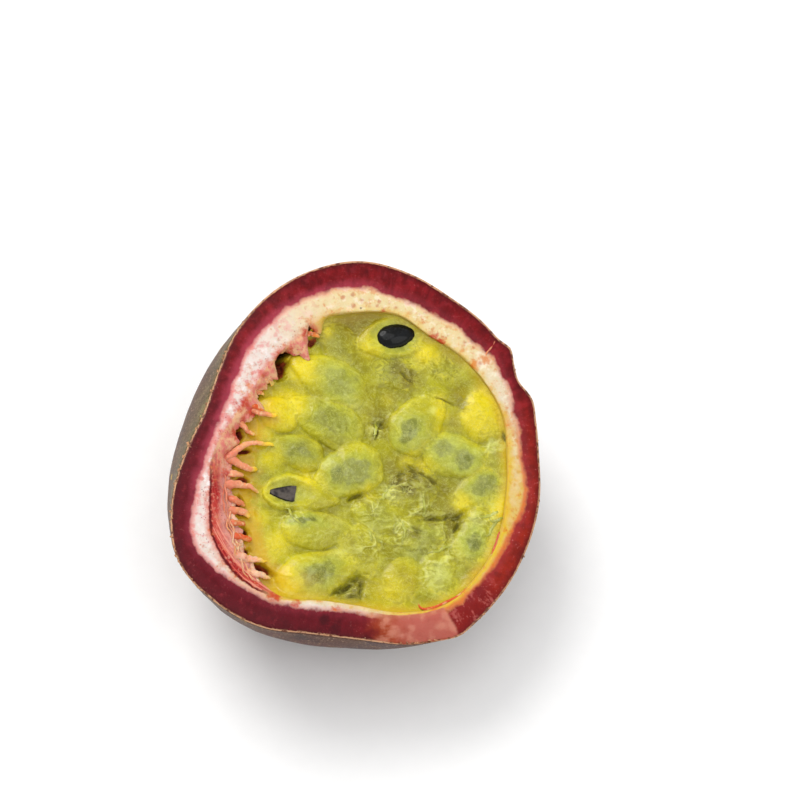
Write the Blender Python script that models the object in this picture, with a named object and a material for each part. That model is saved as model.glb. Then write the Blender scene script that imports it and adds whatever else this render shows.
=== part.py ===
"""Half of a purple passion fruit, cut from stalk to tip, lying on its rounded back.

The pieces are the leathery rind with its row of pegs, the bed of joined pulp that fills the
lower cavity, and the juice sacs of the top layer, each with its own seed inside.

Everything is laid out in the cut's own frame: X and Y lie in the cut face, Z points out of it.
An empty, lean, then tips that frame, so that the half rests on a small flat spot on its back.
"""

from math import atan2, cos, exp, pi, radians, sin, sqrt

import bmesh
import bpy
from mathutils import Matrix, Vector

MM = 0.001

# --- the fruit -------------------------------------------------------------------------------
# Radius of the cut's outline every 15 degrees, counter-clockwise from +X.
RIM_MM = (26.4, 26.5, 26.4, 26.7, 26.8, 27.7, 28.4, 27.8, 26.7, 25.2, 23.6, 23.2,
          25.1, 27.8, 29.9, 29.4, 28.3, 26.5, 26.5, 28.3, 29.6, 29.0, 28.1, 27.3)
# Radius of the cavity's edge in the cut, at the same angles.
CAVITY_MM = (21.6, 21.8, 21.3, 20.6, 20.5, 21.3, 21.0, 20.6, 18.9, 18.1, 17.6, 17.6,
             18.9, 19.4, 20.4, 22.4, 23.2, 21.5, 21.5, 23.4, 24.6, 24.4, 23.3, 22.4)
# Small corners and dents in the outline: (angle in degrees, width in degrees, height in mm).
RIM_NICKS = ((35, 3.5, 0.75), (25, 4.0, -0.55), (17, 4.0, 0.3), (299, 4.0, 0.35))
# The fruit is a little longer along its core, from the stalk at 40 degrees to the tip.
CORE_DIRECTION = radians(40)
CORE_STRETCH = 1.06
DEPTH = 26.0 * MM
BACK_RADIUS = 27.2 * MM
BACK_SAG = 1.5 * MM
BACK_SAG_DIRECTION = radians(262)
WALL_AT_BACK = 6.2 * MM
CAVITY_BACK_RADIUS = 21.2 * MM
RESTING_SPOT_DEPTH = 0.85 * MM
LEAN_FORWARD = radians(13.7)
LEAN_SIDEWAYS = radians(11.8)

# --- pegs on the inner wall: (angle in degrees, length in mm) --------------------------------
PEGS = ((111, 2.4), (122, 3.0), (156, 3.6), (175, 4.2), (184, 3.8),
        (195, 3.8), (206, 3.0), (214, 3.2), (224, 3.0), (231, 2.6))
PEG_ROOT_RADIUS = 0.85 * MM
PEG_TIP_RADIUS = 0.4 * MM
PEG_LEVEL = -1.1 * MM
PEG_IN_WALL = 1.2 * MM

# --- pulp ------------------------------------------------------------------------------------
GAP = 0.3 * MM
BED_EDGE = -3.9 * MM
BED_MOUND = 0.7 * MM
SAC_STANDS_OUT = 1.3 * MM
SAC_TAPER = 0.28
SAC_HEIGHT = 0.84
HIGHEST_SAC = 0.7 * MM
SEED = Vector((5.6, 3.7, 2.2)) * MM
SEED_TAPER = 0.06
SEED_FORWARD = 0.08
MOUTH_REACH = 1.6 * MM
# Sacs of the top layer before they settle: x, y, heading of the blunt end in degrees, level,
# pitch in degrees, length and width. Lengths are in mm.
SACS = (
    (4.8, 17.0, 12, -1.5, 0, 9.4, 5.8),
    (-4.6, 11.4, -28, -2.3, -4, 10.6, 5.8),
    (-4.6, 4.6, -26, -2.5, -4, 10.6, 5.8),
    (8.4, 4.8, 220, -2.2, 3, 9.8, 6.2),
    (14.4, -1.0, 172, -2.3, 0, 9.8, 5.4),
    (17.4, -6.6, 195, -2.8, 4, 8.6, 4.8),
    (16.8, -12.6, 246, -2.5, 0, 8.8, 5.0),
    (-1.6, -2.0, 218, -2.3, 0, 9.6, 5.8),
    (-8.8, -6.0, 176, -2.2, 3, 8.8, 4.6),
    (-6.2, -11.2, 177, -2.5, 0, 9.4, 4.6),
    (-6.4, -17.4, 200, -2.3, 0, 10.4, 5.6),
    (-10.4, -0.4, -20, -3.4, -5, 8.4, 4.8),
    (11.4, 12.0, 155, -2.6, 0, 8.2, 4.8),
    (18.4, 5.8, 250, -2.4, 0, 9.0, 5.2),
    (8.0, -4.8, 20, -3.0, 5, 8.4, 5.0),
    (3.4, 10.4, -15, -3.2, 0, 8.4, 4.8),
    (5.0, -18.6, 85, -2.8, 0, 8.4, 5.0),
    (11.2, -17.6, 115, -2.9, 0, 8.4, 4.8),
    (9.6, -11.2, 140, -3.0, 0, 8.4, 4.8),
    (-0.4, -13.6, 100, -3.0, 0, 8.4, 4.8),
    (2.6, -8.2, 165, -3.2, 0, 8.4, 4.6),
    (-11.6, 6.4, -15, -3.4, 0, 7.8, 4.6),
    (-3.2, 17.4, -60, -3.2, 0, 8.0, 4.6),
)
# The knife opened these two sacs, counted from 1, and their seeds show.
CUT_SACS = (1, 9)
CUT_LEVEL = 0.25 * MM
# A sac as a chain of balls, which keep it clear of its neighbours: place along the length and
# radius, as shares of the length and of the width.
SAC_BALLS = ((-0.32, 0.30), (-0.12, 0.44), (0.08, 0.50), (0.27, 0.44))
SETTLING_ROUNDS = 400
PUSH_BETWEEN_SACS = 0.2
PUSH_FROM_WALL = 0.4


# --- the fruit's surfaces --------------------------------------------------------------------
def on_ring(radii_mm, angle):
    """A smooth closed curve through radii that stand at equal angles (Catmull-Rom)."""
    count = len(radii_mm)
    place = (angle / (2 * pi)) % 1.0 * count
    i = int(place)
    t = place - i
    a, b, c, d = (radii_mm[(i + k) % count] for k in (-1, 0, 1, 2))
    quadratic = 2 * a - 5 * b + 4 * c - d
    cubic = 3 * b - a - 3 * c + d
    return (2 * b + (c - a) * t + quadratic * t**2 + cubic * t**3) / 2 * MM


def nick(angle):
    """How far the small corners and dents move the outline at an angle."""
    total = 0.0
    for centre, width, height in RIM_NICKS:
        away = (angle - radians(centre) + pi) % (2 * pi) - pi
        total += height * MM * exp(-((away / radians(width)) ** 2))
    return total


def stretched(x, y):
    """Lengthens the cut's plane along the core."""
    along = (x * cos(CORE_DIRECTION) + y * sin(CORE_DIRECTION)) * (CORE_STRETCH - 1)
    return x + along * cos(CORE_DIRECTION), y + along * sin(CORE_DIRECTION)


def skin_point(angle, fall):
    """A point of the skin: fall runs from 0 at the cut to 1 at the middle of the back."""
    back = BACK_RADIUS + BACK_SAG * cos(angle - BACK_SAG_DIRECTION)
    like_rim = (1 - fall) ** 2
    radius = on_ring(RIM_MM, angle) * like_rim + back * (1 - like_rim)
    radius += nick(angle) * (1 - fall) ** 12
    x, y = stretched(radius * cos(angle), radius * sin(angle))
    inwards = sqrt(max(0.0, 1 - fall**2.2))
    return Vector((x * inwards, y * inwards, -DEPTH * fall))


def cavity_point(angle, fall, inset=0.0):
    """A point of the cavity's wall, moved inwards by inset."""
    like_rim = (1 - fall) ** 2
    radius = on_ring(CAVITY_MM, angle) * like_rim + CAVITY_BACK_RADIUS * (1 - like_rim) - inset
    x, y = stretched(radius * cos(angle), radius * sin(angle))
    inwards = sqrt(max(0.0, 1 - fall**2.4))
    return Vector((x * inwards, y * inwards, -(DEPTH - WALL_AT_BACK - inset) * fall))


def bed_point(angle, fall):
    """The side of the pulp bed, from its edge, at BED_EDGE, down."""
    edge = -BED_EDGE / (DEPTH - WALL_AT_BACK - GAP)
    return cavity_point(angle, edge + (1 - edge) * fall, GAP)


def flat_top(angle, rise):
    """Closes the rind's blank at the cut."""
    share = sqrt(max(0.0, 1 - rise**2))
    edge = skin_point(angle, 0)
    return Vector((edge.x * share, edge.y * share, 0.0))


def collar(angle, rise):
    """Carries the cavity's wall straight up through the cut."""
    edge = cavity_point(angle, 0)
    share = min(1.0, 4 * sqrt(max(0.0, 1 - rise**2)))
    return Vector((edge.x * share, edge.y * share, 6 * MM * rise))


def mound(angle, rise):
    """The pulp bed's top, a little higher in the middle."""
    share = sqrt(max(0.0, 1 - rise**2))
    edge = bed_point(angle, 0)
    return Vector((edge.x * share, edge.y * share, BED_EDGE + BED_MOUND * (1 - share**2)))


# --- making objects --------------------------------------------------------------------------
def linked(name, bm, group, lean):
    """Puts a bmesh into the scene as a new object that follows the lean."""
    mesh = bpy.data.meshes.new(name)
    bm.to_mesh(mesh)
    bm.free()
    thing = bpy.data.objects.new(name, mesh)
    thing.parent = lean
    group.objects.link(thing)
    return thing


def as_cutter(thing):
    thing.hide_render = True
    thing.display_type = "WIRE"
    return thing


def bowl(segments, rings, side_at, top_at):
    """A sphere whose lower half takes the points of side_at and whose upper half top_at's."""
    bm = bmesh.new()
    bmesh.ops.create_uvsphere(bm, u_segments=segments, v_segments=rings, radius=1.0)
    for vert in bm.verts:
        angle = atan2(vert.co.y, vert.co.x)
        if vert.co.z > 1e-4:
            vert.co = top_at(angle, min(1.0, vert.co.z))
        else:
            vert.co = side_at(angle, min(1.0, max(0.0, -vert.co.z)))
    return bm


def ovoid(size, segments, rings, taper=0.0, grow=0.0):
    """A rounded body along X, thicker towards +X, with its surface moved out by grow."""
    bm = bmesh.new()
    bmesh.ops.create_uvsphere(bm, u_segments=segments, v_segments=rings, radius=1.0)
    half = size / 2 + Vector((grow, grow, grow))
    for vert in bm.verts:
        along, side, up = vert.co.z, vert.co.x, vert.co.y
        thick = 1 + taper * along
        vert.co = Vector((half.x * along, half.y * side * thick, half.z * up * thick))
    return bm


def slice_off(bm, point, normal):
    """Cuts off what lies beyond a plane and closes the cut with a flat face."""
    parts = bm.verts[:] + bm.edges[:] + bm.faces[:]
    cut = bmesh.ops.bisect_plane(
        bm, geom=parts, dist=1e-7, plane_co=point, plane_no=normal, clear_outer=True
    )
    edges = [part for part in cut["geom_cut"] if isinstance(part, bmesh.types.BMEdge)]
    for face in bmesh.ops.holes_fill(bm, edges=edges, sides=0)["faces"]:
        face.normal_update()
        if face.normal.dot(normal) < 0:
            face.normal_flip()


def add_boolean(thing, name, operation, tools):
    """A live Boolean with one object, or with a collection of them."""
    modifier = thing.modifiers.new(name, "BOOLEAN")
    modifier.operation = operation
    if isinstance(tools, bpy.types.Collection):
        modifier.operand_type = "COLLECTION"
        modifier.collection = tools
    else:
        modifier.object = tools


def leaning():
    """Turns the cut's frame: sideways about its Y first, then forward about X."""
    return Matrix.Rotation(LEAN_FORWARD, 4, "X") @ Matrix.Rotation(LEAN_SIDEWAYS, 4, "Y")


# --- the rind --------------------------------------------------------------------------------
def peg_ends(degrees, length_mm):
    """Root and tip of a peg, which points across the cavity."""
    wall = cavity_point(radians(degrees), -PEG_LEVEL / (DEPTH - WALL_AT_BACK))
    inwards = Vector((-wall.x, -wall.y, 0)).normalized()
    root = wall - inwards * PEG_IN_WALL
    return root, wall + inwards * length_mm * MM


def build_peg(number, degrees, length_mm, group, lean):
    root, tip = peg_ends(degrees, length_mm)
    bm = bmesh.new()
    bmesh.ops.create_cone(bm, cap_ends=True, segments=8, radius1=PEG_ROOT_RADIUS,
                          radius2=PEG_TIP_RADIUS, depth=(tip - root).length)
    peg = as_cutter(linked(f"peg_blank_{number:02d}", bm, group, lean))
    peg.location = (root + tip) / 2
    peg.rotation_mode = "QUATERNION"
    peg.rotation_quaternion = (tip - root).to_track_quat("Z", "Y")


def build_rind(group, cutters, lean):
    """The wall of the fruit, one piece with its pegs, cut flat on top and where it rests."""
    blank = bowl(48, 24, skin_point, flat_top)
    slice_off(blank, Vector((0, 0, -1e-6)), Vector((0, 0, 1)))
    down = leaning().to_3x3().inverted() @ Vector((0, 0, -1))
    lowest = max((vert.co for vert in blank.verts), key=lambda co: co.dot(down))
    slice_off(blank, lowest - down * RESTING_SPOT_DEPTH, down)
    rind = linked("rind", blank, group, lean)

    hollow = as_cutter(linked("cavity", bowl(44, 20, cavity_point, collar), cutters, lean))
    add_boolean(rind, "hollow", "DIFFERENCE", hollow)
    pegs = bpy.data.collections.new("peg_blanks")
    cutters.children.link(pegs)
    for number, (degrees, length_mm) in enumerate(PEGS, 1):
        build_peg(number, degrees, length_mm, pegs, lean)
    add_boolean(rind, "pegs", "UNION", pegs)
    return rind


# --- the sacs and their seeds ----------------------------------------------------------------
class Sac:
    """Where a juice sac lies and how large it is."""

    def __init__(self, x, y, heading, level, pitch, length, width):
        x, y = stretched(x * MM, y * MM)
        self.centre = Vector((x, y, level * MM))
        self.heading, self.pitch = radians(heading), radians(pitch)
        self.length, self.width = length * MM, width * MM

    def matrix(self):
        """From the sac's own frame, whose X runs to its blunt end, to the cut's frame."""
        turn = Matrix.Rotation(self.heading, 4, "Z") @ Matrix.Rotation(self.pitch, 4, "Y")
        return Matrix.Translation(self.centre) @ turn

    def size(self):
        return Vector((self.length, self.width, self.width * SAC_HEIGHT))

    def balls(self):
        matrix = self.matrix()
        return [
            (matrix @ Vector((at * self.length, 0, 0)), share * self.width)
            for at, share in SAC_BALLS
        ]

    def keep_in_layer(self):
        """It shows above the bed and stays about level with the cut."""
        rise = self.width * SAC_HEIGHT / 2
        lowest = BED_EDGE + BED_MOUND + SAC_STANDS_OUT - rise
        self.centre.z = min(HIGHEST_SAC - rise, max(lowest, self.centre.z))


def overlap_push(own, others, share):
    """The move that takes a chain of balls off other balls."""
    move = Vector((0, 0, 0))
    for centre, radius in own:
        for other, other_radius in others:
            apart = centre - other
            short = radius + other_radius + GAP - apart.length
            if short > 0:
                move += apart.normalized() * short * share
    return move


def wall_push(own):
    """The move that takes a chain of balls off the cavity's wall."""
    move = Vector((0, 0, 0))
    for centre, radius in own:
        fall = min(0.98, max(0.0, -centre.z / (DEPTH - WALL_AT_BACK)))
        wall = cavity_point(atan2(centre.y, centre.x), fall).xy.length
        over = centre.xy.length + radius + GAP - wall
        if over > 0:
            move -= Vector((centre.x, centre.y, 0)).normalized() * over * PUSH_FROM_WALL
    return move


def settled_sacs():
    """Moves the sacs off each other, the wall and the pegs, until nothing touches."""
    pegs = []
    for degrees, length_mm in PEGS:
        root, tip = peg_ends(degrees, length_mm)
        pegs += [(root.lerp(tip, share), PEG_ROOT_RADIUS) for share in (0.4, 0.7, 1.0)]
    sacs = [Sac(*place) for place in SACS]
    for _ in range(SETTLING_ROUNDS):
        balls = [sac.balls() for sac in sacs]
        moves = []
        for i, own in enumerate(balls):
            others = [ball for j, chain in enumerate(balls) if j != i for ball in chain]
            move = overlap_push(own, others, PUSH_BETWEEN_SACS)
            move += overlap_push(own, pegs, PUSH_FROM_WALL)
            moves.append(move + wall_push(own))
        for sac, move in zip(sacs, moves):
            sac.centre += move
            sac.keep_in_layer()
    return sacs


def build_pocket(number, sac, group, lean):
    """The seed's room in a sac, drawn out at +X into the sac's narrow mouth."""
    room = ovoid(SEED, 8, 6, grow=GAP)
    tip = max(room.verts, key=lambda vert: vert.co.x)
    tip.co.x = sac.length * (0.5 - SEED_FORWARD) + MOUTH_REACH
    pocket = as_cutter(linked(f"pocket_{number:02d}", room, group, lean))
    pocket.matrix_local = sac.matrix() @ Matrix.Translation((sac.length * SEED_FORWARD, 0, 0))
    return pocket


def build_sac(number, sac, group, pockets, sockets, lean):
    """A juice sac, its seed, and the cutter for its socket in the bed."""
    flesh = ovoid(sac.size(), 10, 8, taper=SAC_TAPER)
    if number in CUT_SACS:
        slice_off(flesh, Vector((0, 0, CUT_LEVEL)), Vector((0, 0, 1)))
    body = linked(f"juice_sac_{number:02d}", flesh, group, lean)
    body.matrix_local = sac.matrix()
    add_boolean(body, "seed room", "DIFFERENCE", build_pocket(number, sac, pockets, lean))

    seed = linked(f"seed_{number:02d}", ovoid(SEED, 8, 6, taper=SEED_TAPER), group, lean)
    seed.matrix_local = sac.matrix() @ Matrix.Translation((sac.length * SEED_FORWARD, 0, 0))

    shape = ovoid(sac.size(), 10, 8, taper=SAC_TAPER, grow=GAP)
    socket = as_cutter(linked(f"socket_{number:02d}", shape, sockets, lean))
    socket.matrix_local = sac.matrix()
    return body, seed


# --- finish and assembly ---------------------------------------------------------------------
def material(name, colour, roughness):
    made = bpy.data.materials.new(name)
    made.use_nodes = True
    shader = made.node_tree.nodes["Principled BSDF"]
    shader.inputs["Base Color"].default_value = (*colour, 1.0)
    shader.inputs["Roughness"].default_value = roughness
    shader.inputs["Metallic"].default_value = 0.0
    return made


def finish(thing, surface):
    thing.data.materials.append(surface)
    thing.data.shade_smooth()
    thing.data.set_sharp_from_angle(angle=radians(40))


def set_down(lean, rind):
    """Tips the frame and puts the rind's lowest flat spot on z = 0, over the origin."""
    turned = leaning()
    corners = [turned @ vert.co for vert in rind.data.vertices]
    low = [min(corner[k] for corner in corners) for k in range(3)]
    high = [max(corner[k] for corner in corners) for k in range(3)]
    lean.rotation_mode = "QUATERNION"
    lean.rotation_quaternion = turned.to_quaternion()
    lean.location = (-(low[0] + high[0]) / 2, -(low[1] + high[1]) / 2, -low[2])


def new_group(name, parent):
    group = bpy.data.collections.new(name)
    parent.children.link(group)
    return group


def main():
    for thing in list(bpy.data.objects):
        bpy.data.objects.remove(thing)
    scene_root = bpy.context.scene.collection
    group = new_group("passion_fruit_half", scene_root)
    cutters = new_group("cutters", scene_root)
    pockets = new_group("pockets", cutters)
    sockets = new_group("sockets", cutters)
    lean = bpy.data.objects.new("lean", None)
    group.objects.link(lean)

    rind = build_rind(group, cutters, lean)
    set_down(lean, rind)
    finish(rind, material("rind", (0.16, 0.05, 0.06), 0.45))

    gel = material("juice_sac", (0.55, 0.52, 0.06), 0.2)
    hull = material("seed", (0.02, 0.02, 0.025), 0.3)
    for number, sac in enumerate(settled_sacs(), 1):
        body, seed = build_sac(number, sac, group, pockets, sockets, lean)
        finish(body, gel)
        finish(seed, hull)

    bed = linked("pulp_bed", bowl(36, 20, bed_point, mound), group, lean)
    add_boolean(bed, "sockets", "DIFFERENCE", sockets)
    finish(bed, material("pulp_bed", (0.42, 0.40, 0.05), 0.25))


main()
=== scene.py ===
# %% [markdown]
# # Half of a passion fruit
# A purple passion fruit, cut from stalk to tip, lies on its rounded back. Its leathery wall has
# three layers: a thin purple skin, a firm crimson layer and a white pith. Inside, sacs of
# yellow-green juice hang on small pegs, each sac with a dark seed in it. This lesson builds
# those pieces round a finished CAD model, which says where everything is and how large.

# %% Load the frame
import itertools
from math import cos, pi, radians, sin

import bmesh
import bpy
import numpy as np
from mathutils import Matrix, Vector


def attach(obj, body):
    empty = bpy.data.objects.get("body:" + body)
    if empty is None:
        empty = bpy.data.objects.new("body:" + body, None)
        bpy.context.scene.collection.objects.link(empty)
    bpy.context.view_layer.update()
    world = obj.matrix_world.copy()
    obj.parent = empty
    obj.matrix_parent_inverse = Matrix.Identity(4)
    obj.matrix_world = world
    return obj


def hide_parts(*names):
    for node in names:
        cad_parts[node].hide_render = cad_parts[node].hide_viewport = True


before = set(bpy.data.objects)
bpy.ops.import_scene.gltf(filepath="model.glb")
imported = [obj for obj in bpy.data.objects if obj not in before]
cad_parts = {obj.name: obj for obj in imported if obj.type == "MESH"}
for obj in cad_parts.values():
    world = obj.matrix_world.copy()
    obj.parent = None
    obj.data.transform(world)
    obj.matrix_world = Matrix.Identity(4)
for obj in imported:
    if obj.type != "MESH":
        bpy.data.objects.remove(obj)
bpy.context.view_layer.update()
MM = 0.001


def put(name, data):
    """A new object in the scene that holds some data."""
    made = bpy.data.objects.new(name, data)
    bpy.context.scene.collection.objects.link(made)
    return made


print("CAD nodes:", len(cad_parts))

# %% [markdown]
# ## The cut's own frame
# The cut face leans, so it is easier to think in a frame that lies in it: X and Y in the cut,
# Z out of it, and the origin near the middle of the cut. One matrix takes a point from there to
# the world. Every shape below is first worked out in the cut's frame, in millimetres.

# %% The cut's frame
CUT_MIDDLE_MM = Vector((0.63, -0.80, 25.48))
LEAN = Matrix.Rotation(radians(13.7), 3, "X") @ Matrix.Rotation(radians(11.8), 3, "Y")
TO_WORLD = np.array(LEAN)


def in_world(points_mm):
    """Points of the cut's frame in millimetres, as world points in metres."""
    return (np.asarray(points_mm) @ TO_WORLD.T + np.array(CUT_MIDDLE_MM)) * MM


print("the cut faces", [round(c, 2) for c in LEAN @ Vector((0, 0, 1))])

# %% [markdown]
# ## Camera
# The camera looks almost straight at the cut, from 20 degrees to the side, so that a strip of
# the purple back shows along the left and lower edge. A long lens keeps the round outline from
# bulging, as in a close product shot.

# %% Camera
VIEW_TILT = radians(20)
VIEW_SIDE = radians(220)
CAMERA_DISTANCE_MM = 700
MM_ACROSS_PICTURE = 0.145 * 800
PICTURE_MIDDLE_MM = (5.95, 8.0)
SENSOR_MM = 36

sideways = sin(VIEW_TILT)
to_camera = Vector((sideways * cos(VIEW_SIDE), sideways * sin(VIEW_SIDE), cos(VIEW_TILT)))
turn = Vector((0, 0, 1)).rotation_difference(to_camera).to_matrix()
eye_mm = turn @ Vector((*PICTURE_MIDDLE_MM, CAMERA_DISTANCE_MM))
lens = bpy.data.cameras.new("camera")
lens.sensor_width = SENSOR_MM
lens.lens = SENSOR_MM * CAMERA_DISTANCE_MM / MM_ACROSS_PICTURE
lens.clip_start, lens.clip_end = 0.01, 20
camera = put("camera", lens)
camera.matrix_world = Matrix.Translation(Vector(in_world(eye_mm))) @ (LEAN @ turn).to_4x4()
bpy.context.scene.camera = camera
print("lens", round(lens.lens), "mm")

# %% [markdown]
# ## Floor and light
# A plain pale floor and large, soft lamps, as in a bright studio. The main lamp hangs behind
# and to the left, so the wet pulp catches its shine; a white surrounding fills the shadows.

# %% Floor and light
def area_light(name, place, target, size, power, colour=(1, 1, 1)):
    """A soft round light that faces a target."""
    data = bpy.data.lights.new(name, "AREA")
    data.shape, data.size, data.energy, data.color = "DISK", size, power, colour
    aim = (Vector(place) - Vector(target)).to_track_quat("Z", "Y").to_matrix().to_4x4()
    put(name, data).matrix_world = Matrix.Translation(place) @ aim


middle = (0, 0, 0.02)
area_light("key", (-0.35, 0.45, 0.75), middle, 0.6, 5.2, (1.0, 0.99, 0.97))
area_light("fill", (0.6, -0.5, 0.6), middle, 0.8, 2.0)
area_light("top", (0.0, -0.1, 1.0), middle, 0.9, 2.6)

world = bpy.data.worlds.new("studio")
world.use_nodes = True
world.node_tree.nodes["Background"].inputs["Color"].default_value = (1, 1, 1, 1)
world.node_tree.nodes["Background"].inputs["Strength"].default_value = 0.6
bpy.context.scene.world = world
bpy.context.scene.view_settings.view_transform = "Standard"
print("lights:", [lamp.name for lamp in bpy.data.lights])

# %% [markdown]
# ## Writing shaders as sums
# A material is a graph of nodes, but most of what it works out is plain arithmetic. The class
# Wire wraps a socket, so that Python's own signs add the Math nodes. Graph holds the nodes, and
# its method node makes every other kind. Surface is the graph of a material, and Paint a colour
# in it that takes one layer after another, as a painter's does.

# %% Shader helpers
def sign(operation, swapped=False):
    """One of Python's signs, as a method that adds one Math node."""

    def method(self, other):
        pair = (other, self) if swapped else (self, other)
        return self.math(operation, *pair)

    return method


class Wire:
    """A socket that takes part in arithmetic."""

    def __init__(self, graph, socket):
        self.graph, self.socket = graph, socket

    def math(self, operation, *values):
        """One Math node."""
        return self.graph.node("ShaderNodeMath", {"operation": operation}, dict(enumerate(values)))

    __add__ = __radd__ = sign("ADD")
    __sub__, __rsub__ = sign("SUBTRACT"), sign("SUBTRACT", swapped=True)
    __mul__ = __rmul__ = sign("MULTIPLY")
    __pow__ = sign("POWER")
    most = sign("MAXIMUM")

    def __neg__(self):
        return self * -1.0

    def __abs__(self):
        return self.math("ABSOLUTE", self)

    def rise(self, low, high):
        """0 below low, 1 above high, and a soft step between."""
        settings = {"interpolation_type": "SMOOTHSTEP"}
        inputs = {"Value": self, "From Min": low, "From Max": high}
        return self.graph.node("ShaderNodeMapRange", settings, inputs)

    def fall(self, low, high):
        """The other way: 1 below low and 0 above high."""
        return 1 - self.rise(low, high)


class Graph:
    """A node tree under construction."""

    def __init__(self, tree):
        self.tree = tree

    def plug(self, socket, value):
        """Links a wire or a paint to a socket, or sets a plain value."""
        value = getattr(value, "colour", value)
        if isinstance(value, Wire):
            self.tree.links.new(value.socket, socket)
        else:
            socket.default_value = value

    def node(self, kind, settings=None, inputs=None, output=0):
        """Adds a node: its settings first, then what its sockets take."""
        made = self.tree.nodes.new(kind)
        for key, value in (settings or {}).items():
            setattr(made, key, value)
        for key, value in (inputs or {}).items():
            self.plug(made.inputs[key], value)
        return Wire(self, made.outputs[output])

    def vector(self, operation, first, second, output=0):
        """One Vector Math node."""
        key = "Scale" if operation == "SCALE" else 1
        return self.node("ShaderNodeVectorMath", {"operation": operation}, {0: first, key: second}, output)


class Paint:
    """A colour that takes layers, each of which covers it by a share from 0 to 1."""

    def __init__(self, surface, colour):
        self.surface, self.colour = surface, colour

    def lay(self, share, colour):
        """Covers the colour so far by a share of another one."""
        self.colour = self.surface.mix(share, self, colour)


class Surface(Graph):
    """A material under construction. Colours are screen values from 0 to 255, or wires."""

    def __init__(self, name):
        self.material = bpy.data.materials.new(name)
        self.material.use_nodes = True
        super().__init__(self.material.node_tree)
        self.shader = self.tree.nodes["Principled BSDF"]

    def place(self):
        """Where each point of the surface lies."""
        return self.node("ShaderNodeTexCoord", output="Object")

    def reading(self, name, output="Fac"):
        """A number, or a vector, that is stored on the points."""
        return self.node("ShaderNodeAttribute", {"attribute_name": name}, output=output)

    def readings(self, names):
        """Several readings, for names with spaces between them."""
        return (self.reading(name) for name in names.split())

    def noise(self, size_mm, detail=3.0, roughness=0.55, vector=None, per_mm=None, distortion=0.0):
        """Noise from 0 to 1 whose blotches are about size_mm wide."""
        inputs = {"Vector": vector or self.place(), "Scale": per_mm or 1.0 / (size_mm * MM)}
        inputs.update({"Detail": detail, "Roughness": roughness, "Distortion": distortion})
        return self.node("ShaderNodeTexNoise", {"normalize": True}, inputs)

    def cells(self, size_mm):
        """Distance to the nearest of points strewn about size_mm apart."""
        inputs = {"Vector": self.place(), "Scale": 1.0 / (size_mm * MM)}
        return self.node("ShaderNodeTexVoronoi", None, inputs, "Distance")

    def mix(self, share, first, second):
        """A colour between two colours."""
        made = self.tree.nodes.new("ShaderNodeMix")
        made.data_type = "RGBA"
        self.plug(made.inputs[0], share)
        for socket, colour in ((made.inputs[6], first), (made.inputs[7], second)):
            self.plug(socket, linear(colour) if isinstance(colour, tuple) else colour)
        return Wire(self, made.outputs[2])

    def paint(self, share, first, second):
        """The same, as a paint that takes layers."""
        return Paint(self, self.mix(share, first, second))

    def along(self, vector, direction):
        """How far a vector points in a direction."""
        return self.vector("DOT_PRODUCT", vector, direction, "Value")

    def scaled(self, vector, factors):
        """A vector with each axis stretched by its own factor."""
        return self.vector("MULTIPLY", vector, factors)

    def bump(self, height, depth_mm, strength=1.0, under=None):
        """A fine relief: height runs from 0 to 1 and stands for depth_mm."""
        inputs = {"Height": height, "Distance": depth_mm * MM, "Strength": strength}
        if under:
            inputs["Normal"] = under
        return self.node("ShaderNodeBump", None, inputs, "Normal")

    def finish(self, **inputs):
        """Plugs the shader's own sockets, named in lower case with _ for a space."""
        for key, value in inputs.items():
            title = {"specular": "Specular IOR Level"}.get(key, key.replace("_", " ").title())
            self.plug(self.shader.inputs[title], value)
        print("material", self.material.name, "has", len(self.tree.nodes), "nodes")
        return self.material


def linear(colour):
    """A colour's screen values from 0 to 255, on the shader's linear scale, with full alpha."""
    shares = (value / 255 for value in colour)
    return *(c / 12.92 if c < 0.04 else ((c + 0.055) / 1.055) ** 2.4 for c in shares), 1.0


print("a middle grey is", round(linear((128, 128, 128))[0], 3), "on the shader's scale")

# %% The floor
paper = Surface("floor_paper")
grain = paper.noise(3.0)
floor_bm = bmesh.new()
bmesh.ops.create_grid(floor_bm, x_segments=1, y_segments=1, size=3)
floor_mesh = bpy.data.meshes.new("floor")
floor_bm.to_mesh(floor_mesh)
floor_bm.free()
floor = put("floor", floor_mesh)
pale = paper.mix(grain, (242, 242, 242), (246, 246, 246))
floor_mesh.materials.append(paper.finish(base_color=pale, roughness=0.7))

# %% [markdown]
# ## Smooth randomness in numbers
# Nothing that grows is exact. Where a shape itself must wander, the mesh's points are moved by a
# smooth noise: random values on the corners of a grid of cubes, blended inside each cube. The
# values come from the corner's own whole numbers, so every run gives the same fruit.

# %% Noise for shapes
def wander(points_mm, size_mm, seed=0, octaves=2):
    """Smooth random numbers, about -1 to 1, that change over about size_mm."""
    points_mm = np.atleast_2d(points_mm)
    total, weight = np.zeros(len(points_mm)), 1.0
    for octave in range(octaves):
        p = points_mm * (2**octave / size_mm) + 11.3 * (octave + 1)
        cell = np.floor(p).astype(np.int64)
        t = p - cell
        t = t * t * (3 - 2 * t)
        for corner in itertools.product((0, 1), repeat=3):
            c = cell + corner
            mixed = (c[:, 0] * 73856093) ^ (c[:, 1] * 19349663) ^ (c[:, 2] * 83492791)
            mixed = (mixed ^ (seed * 40503 + octave * 977)) & 0xFFFFFFFF
            mixed = ((mixed ^ (mixed >> 15)) * 2246822519) & 0xFFFFFFFF
            mixed = ((mixed ^ (mixed >> 13)) * 3266489917) & 0xFFFFFFFF
            value = (mixed >> 8 & 0xFFFF) / 32767.5 - 1
            total += weight * value * np.where(corner, t, 1 - t).prod(axis=1)
        weight /= 2
    return total


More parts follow.
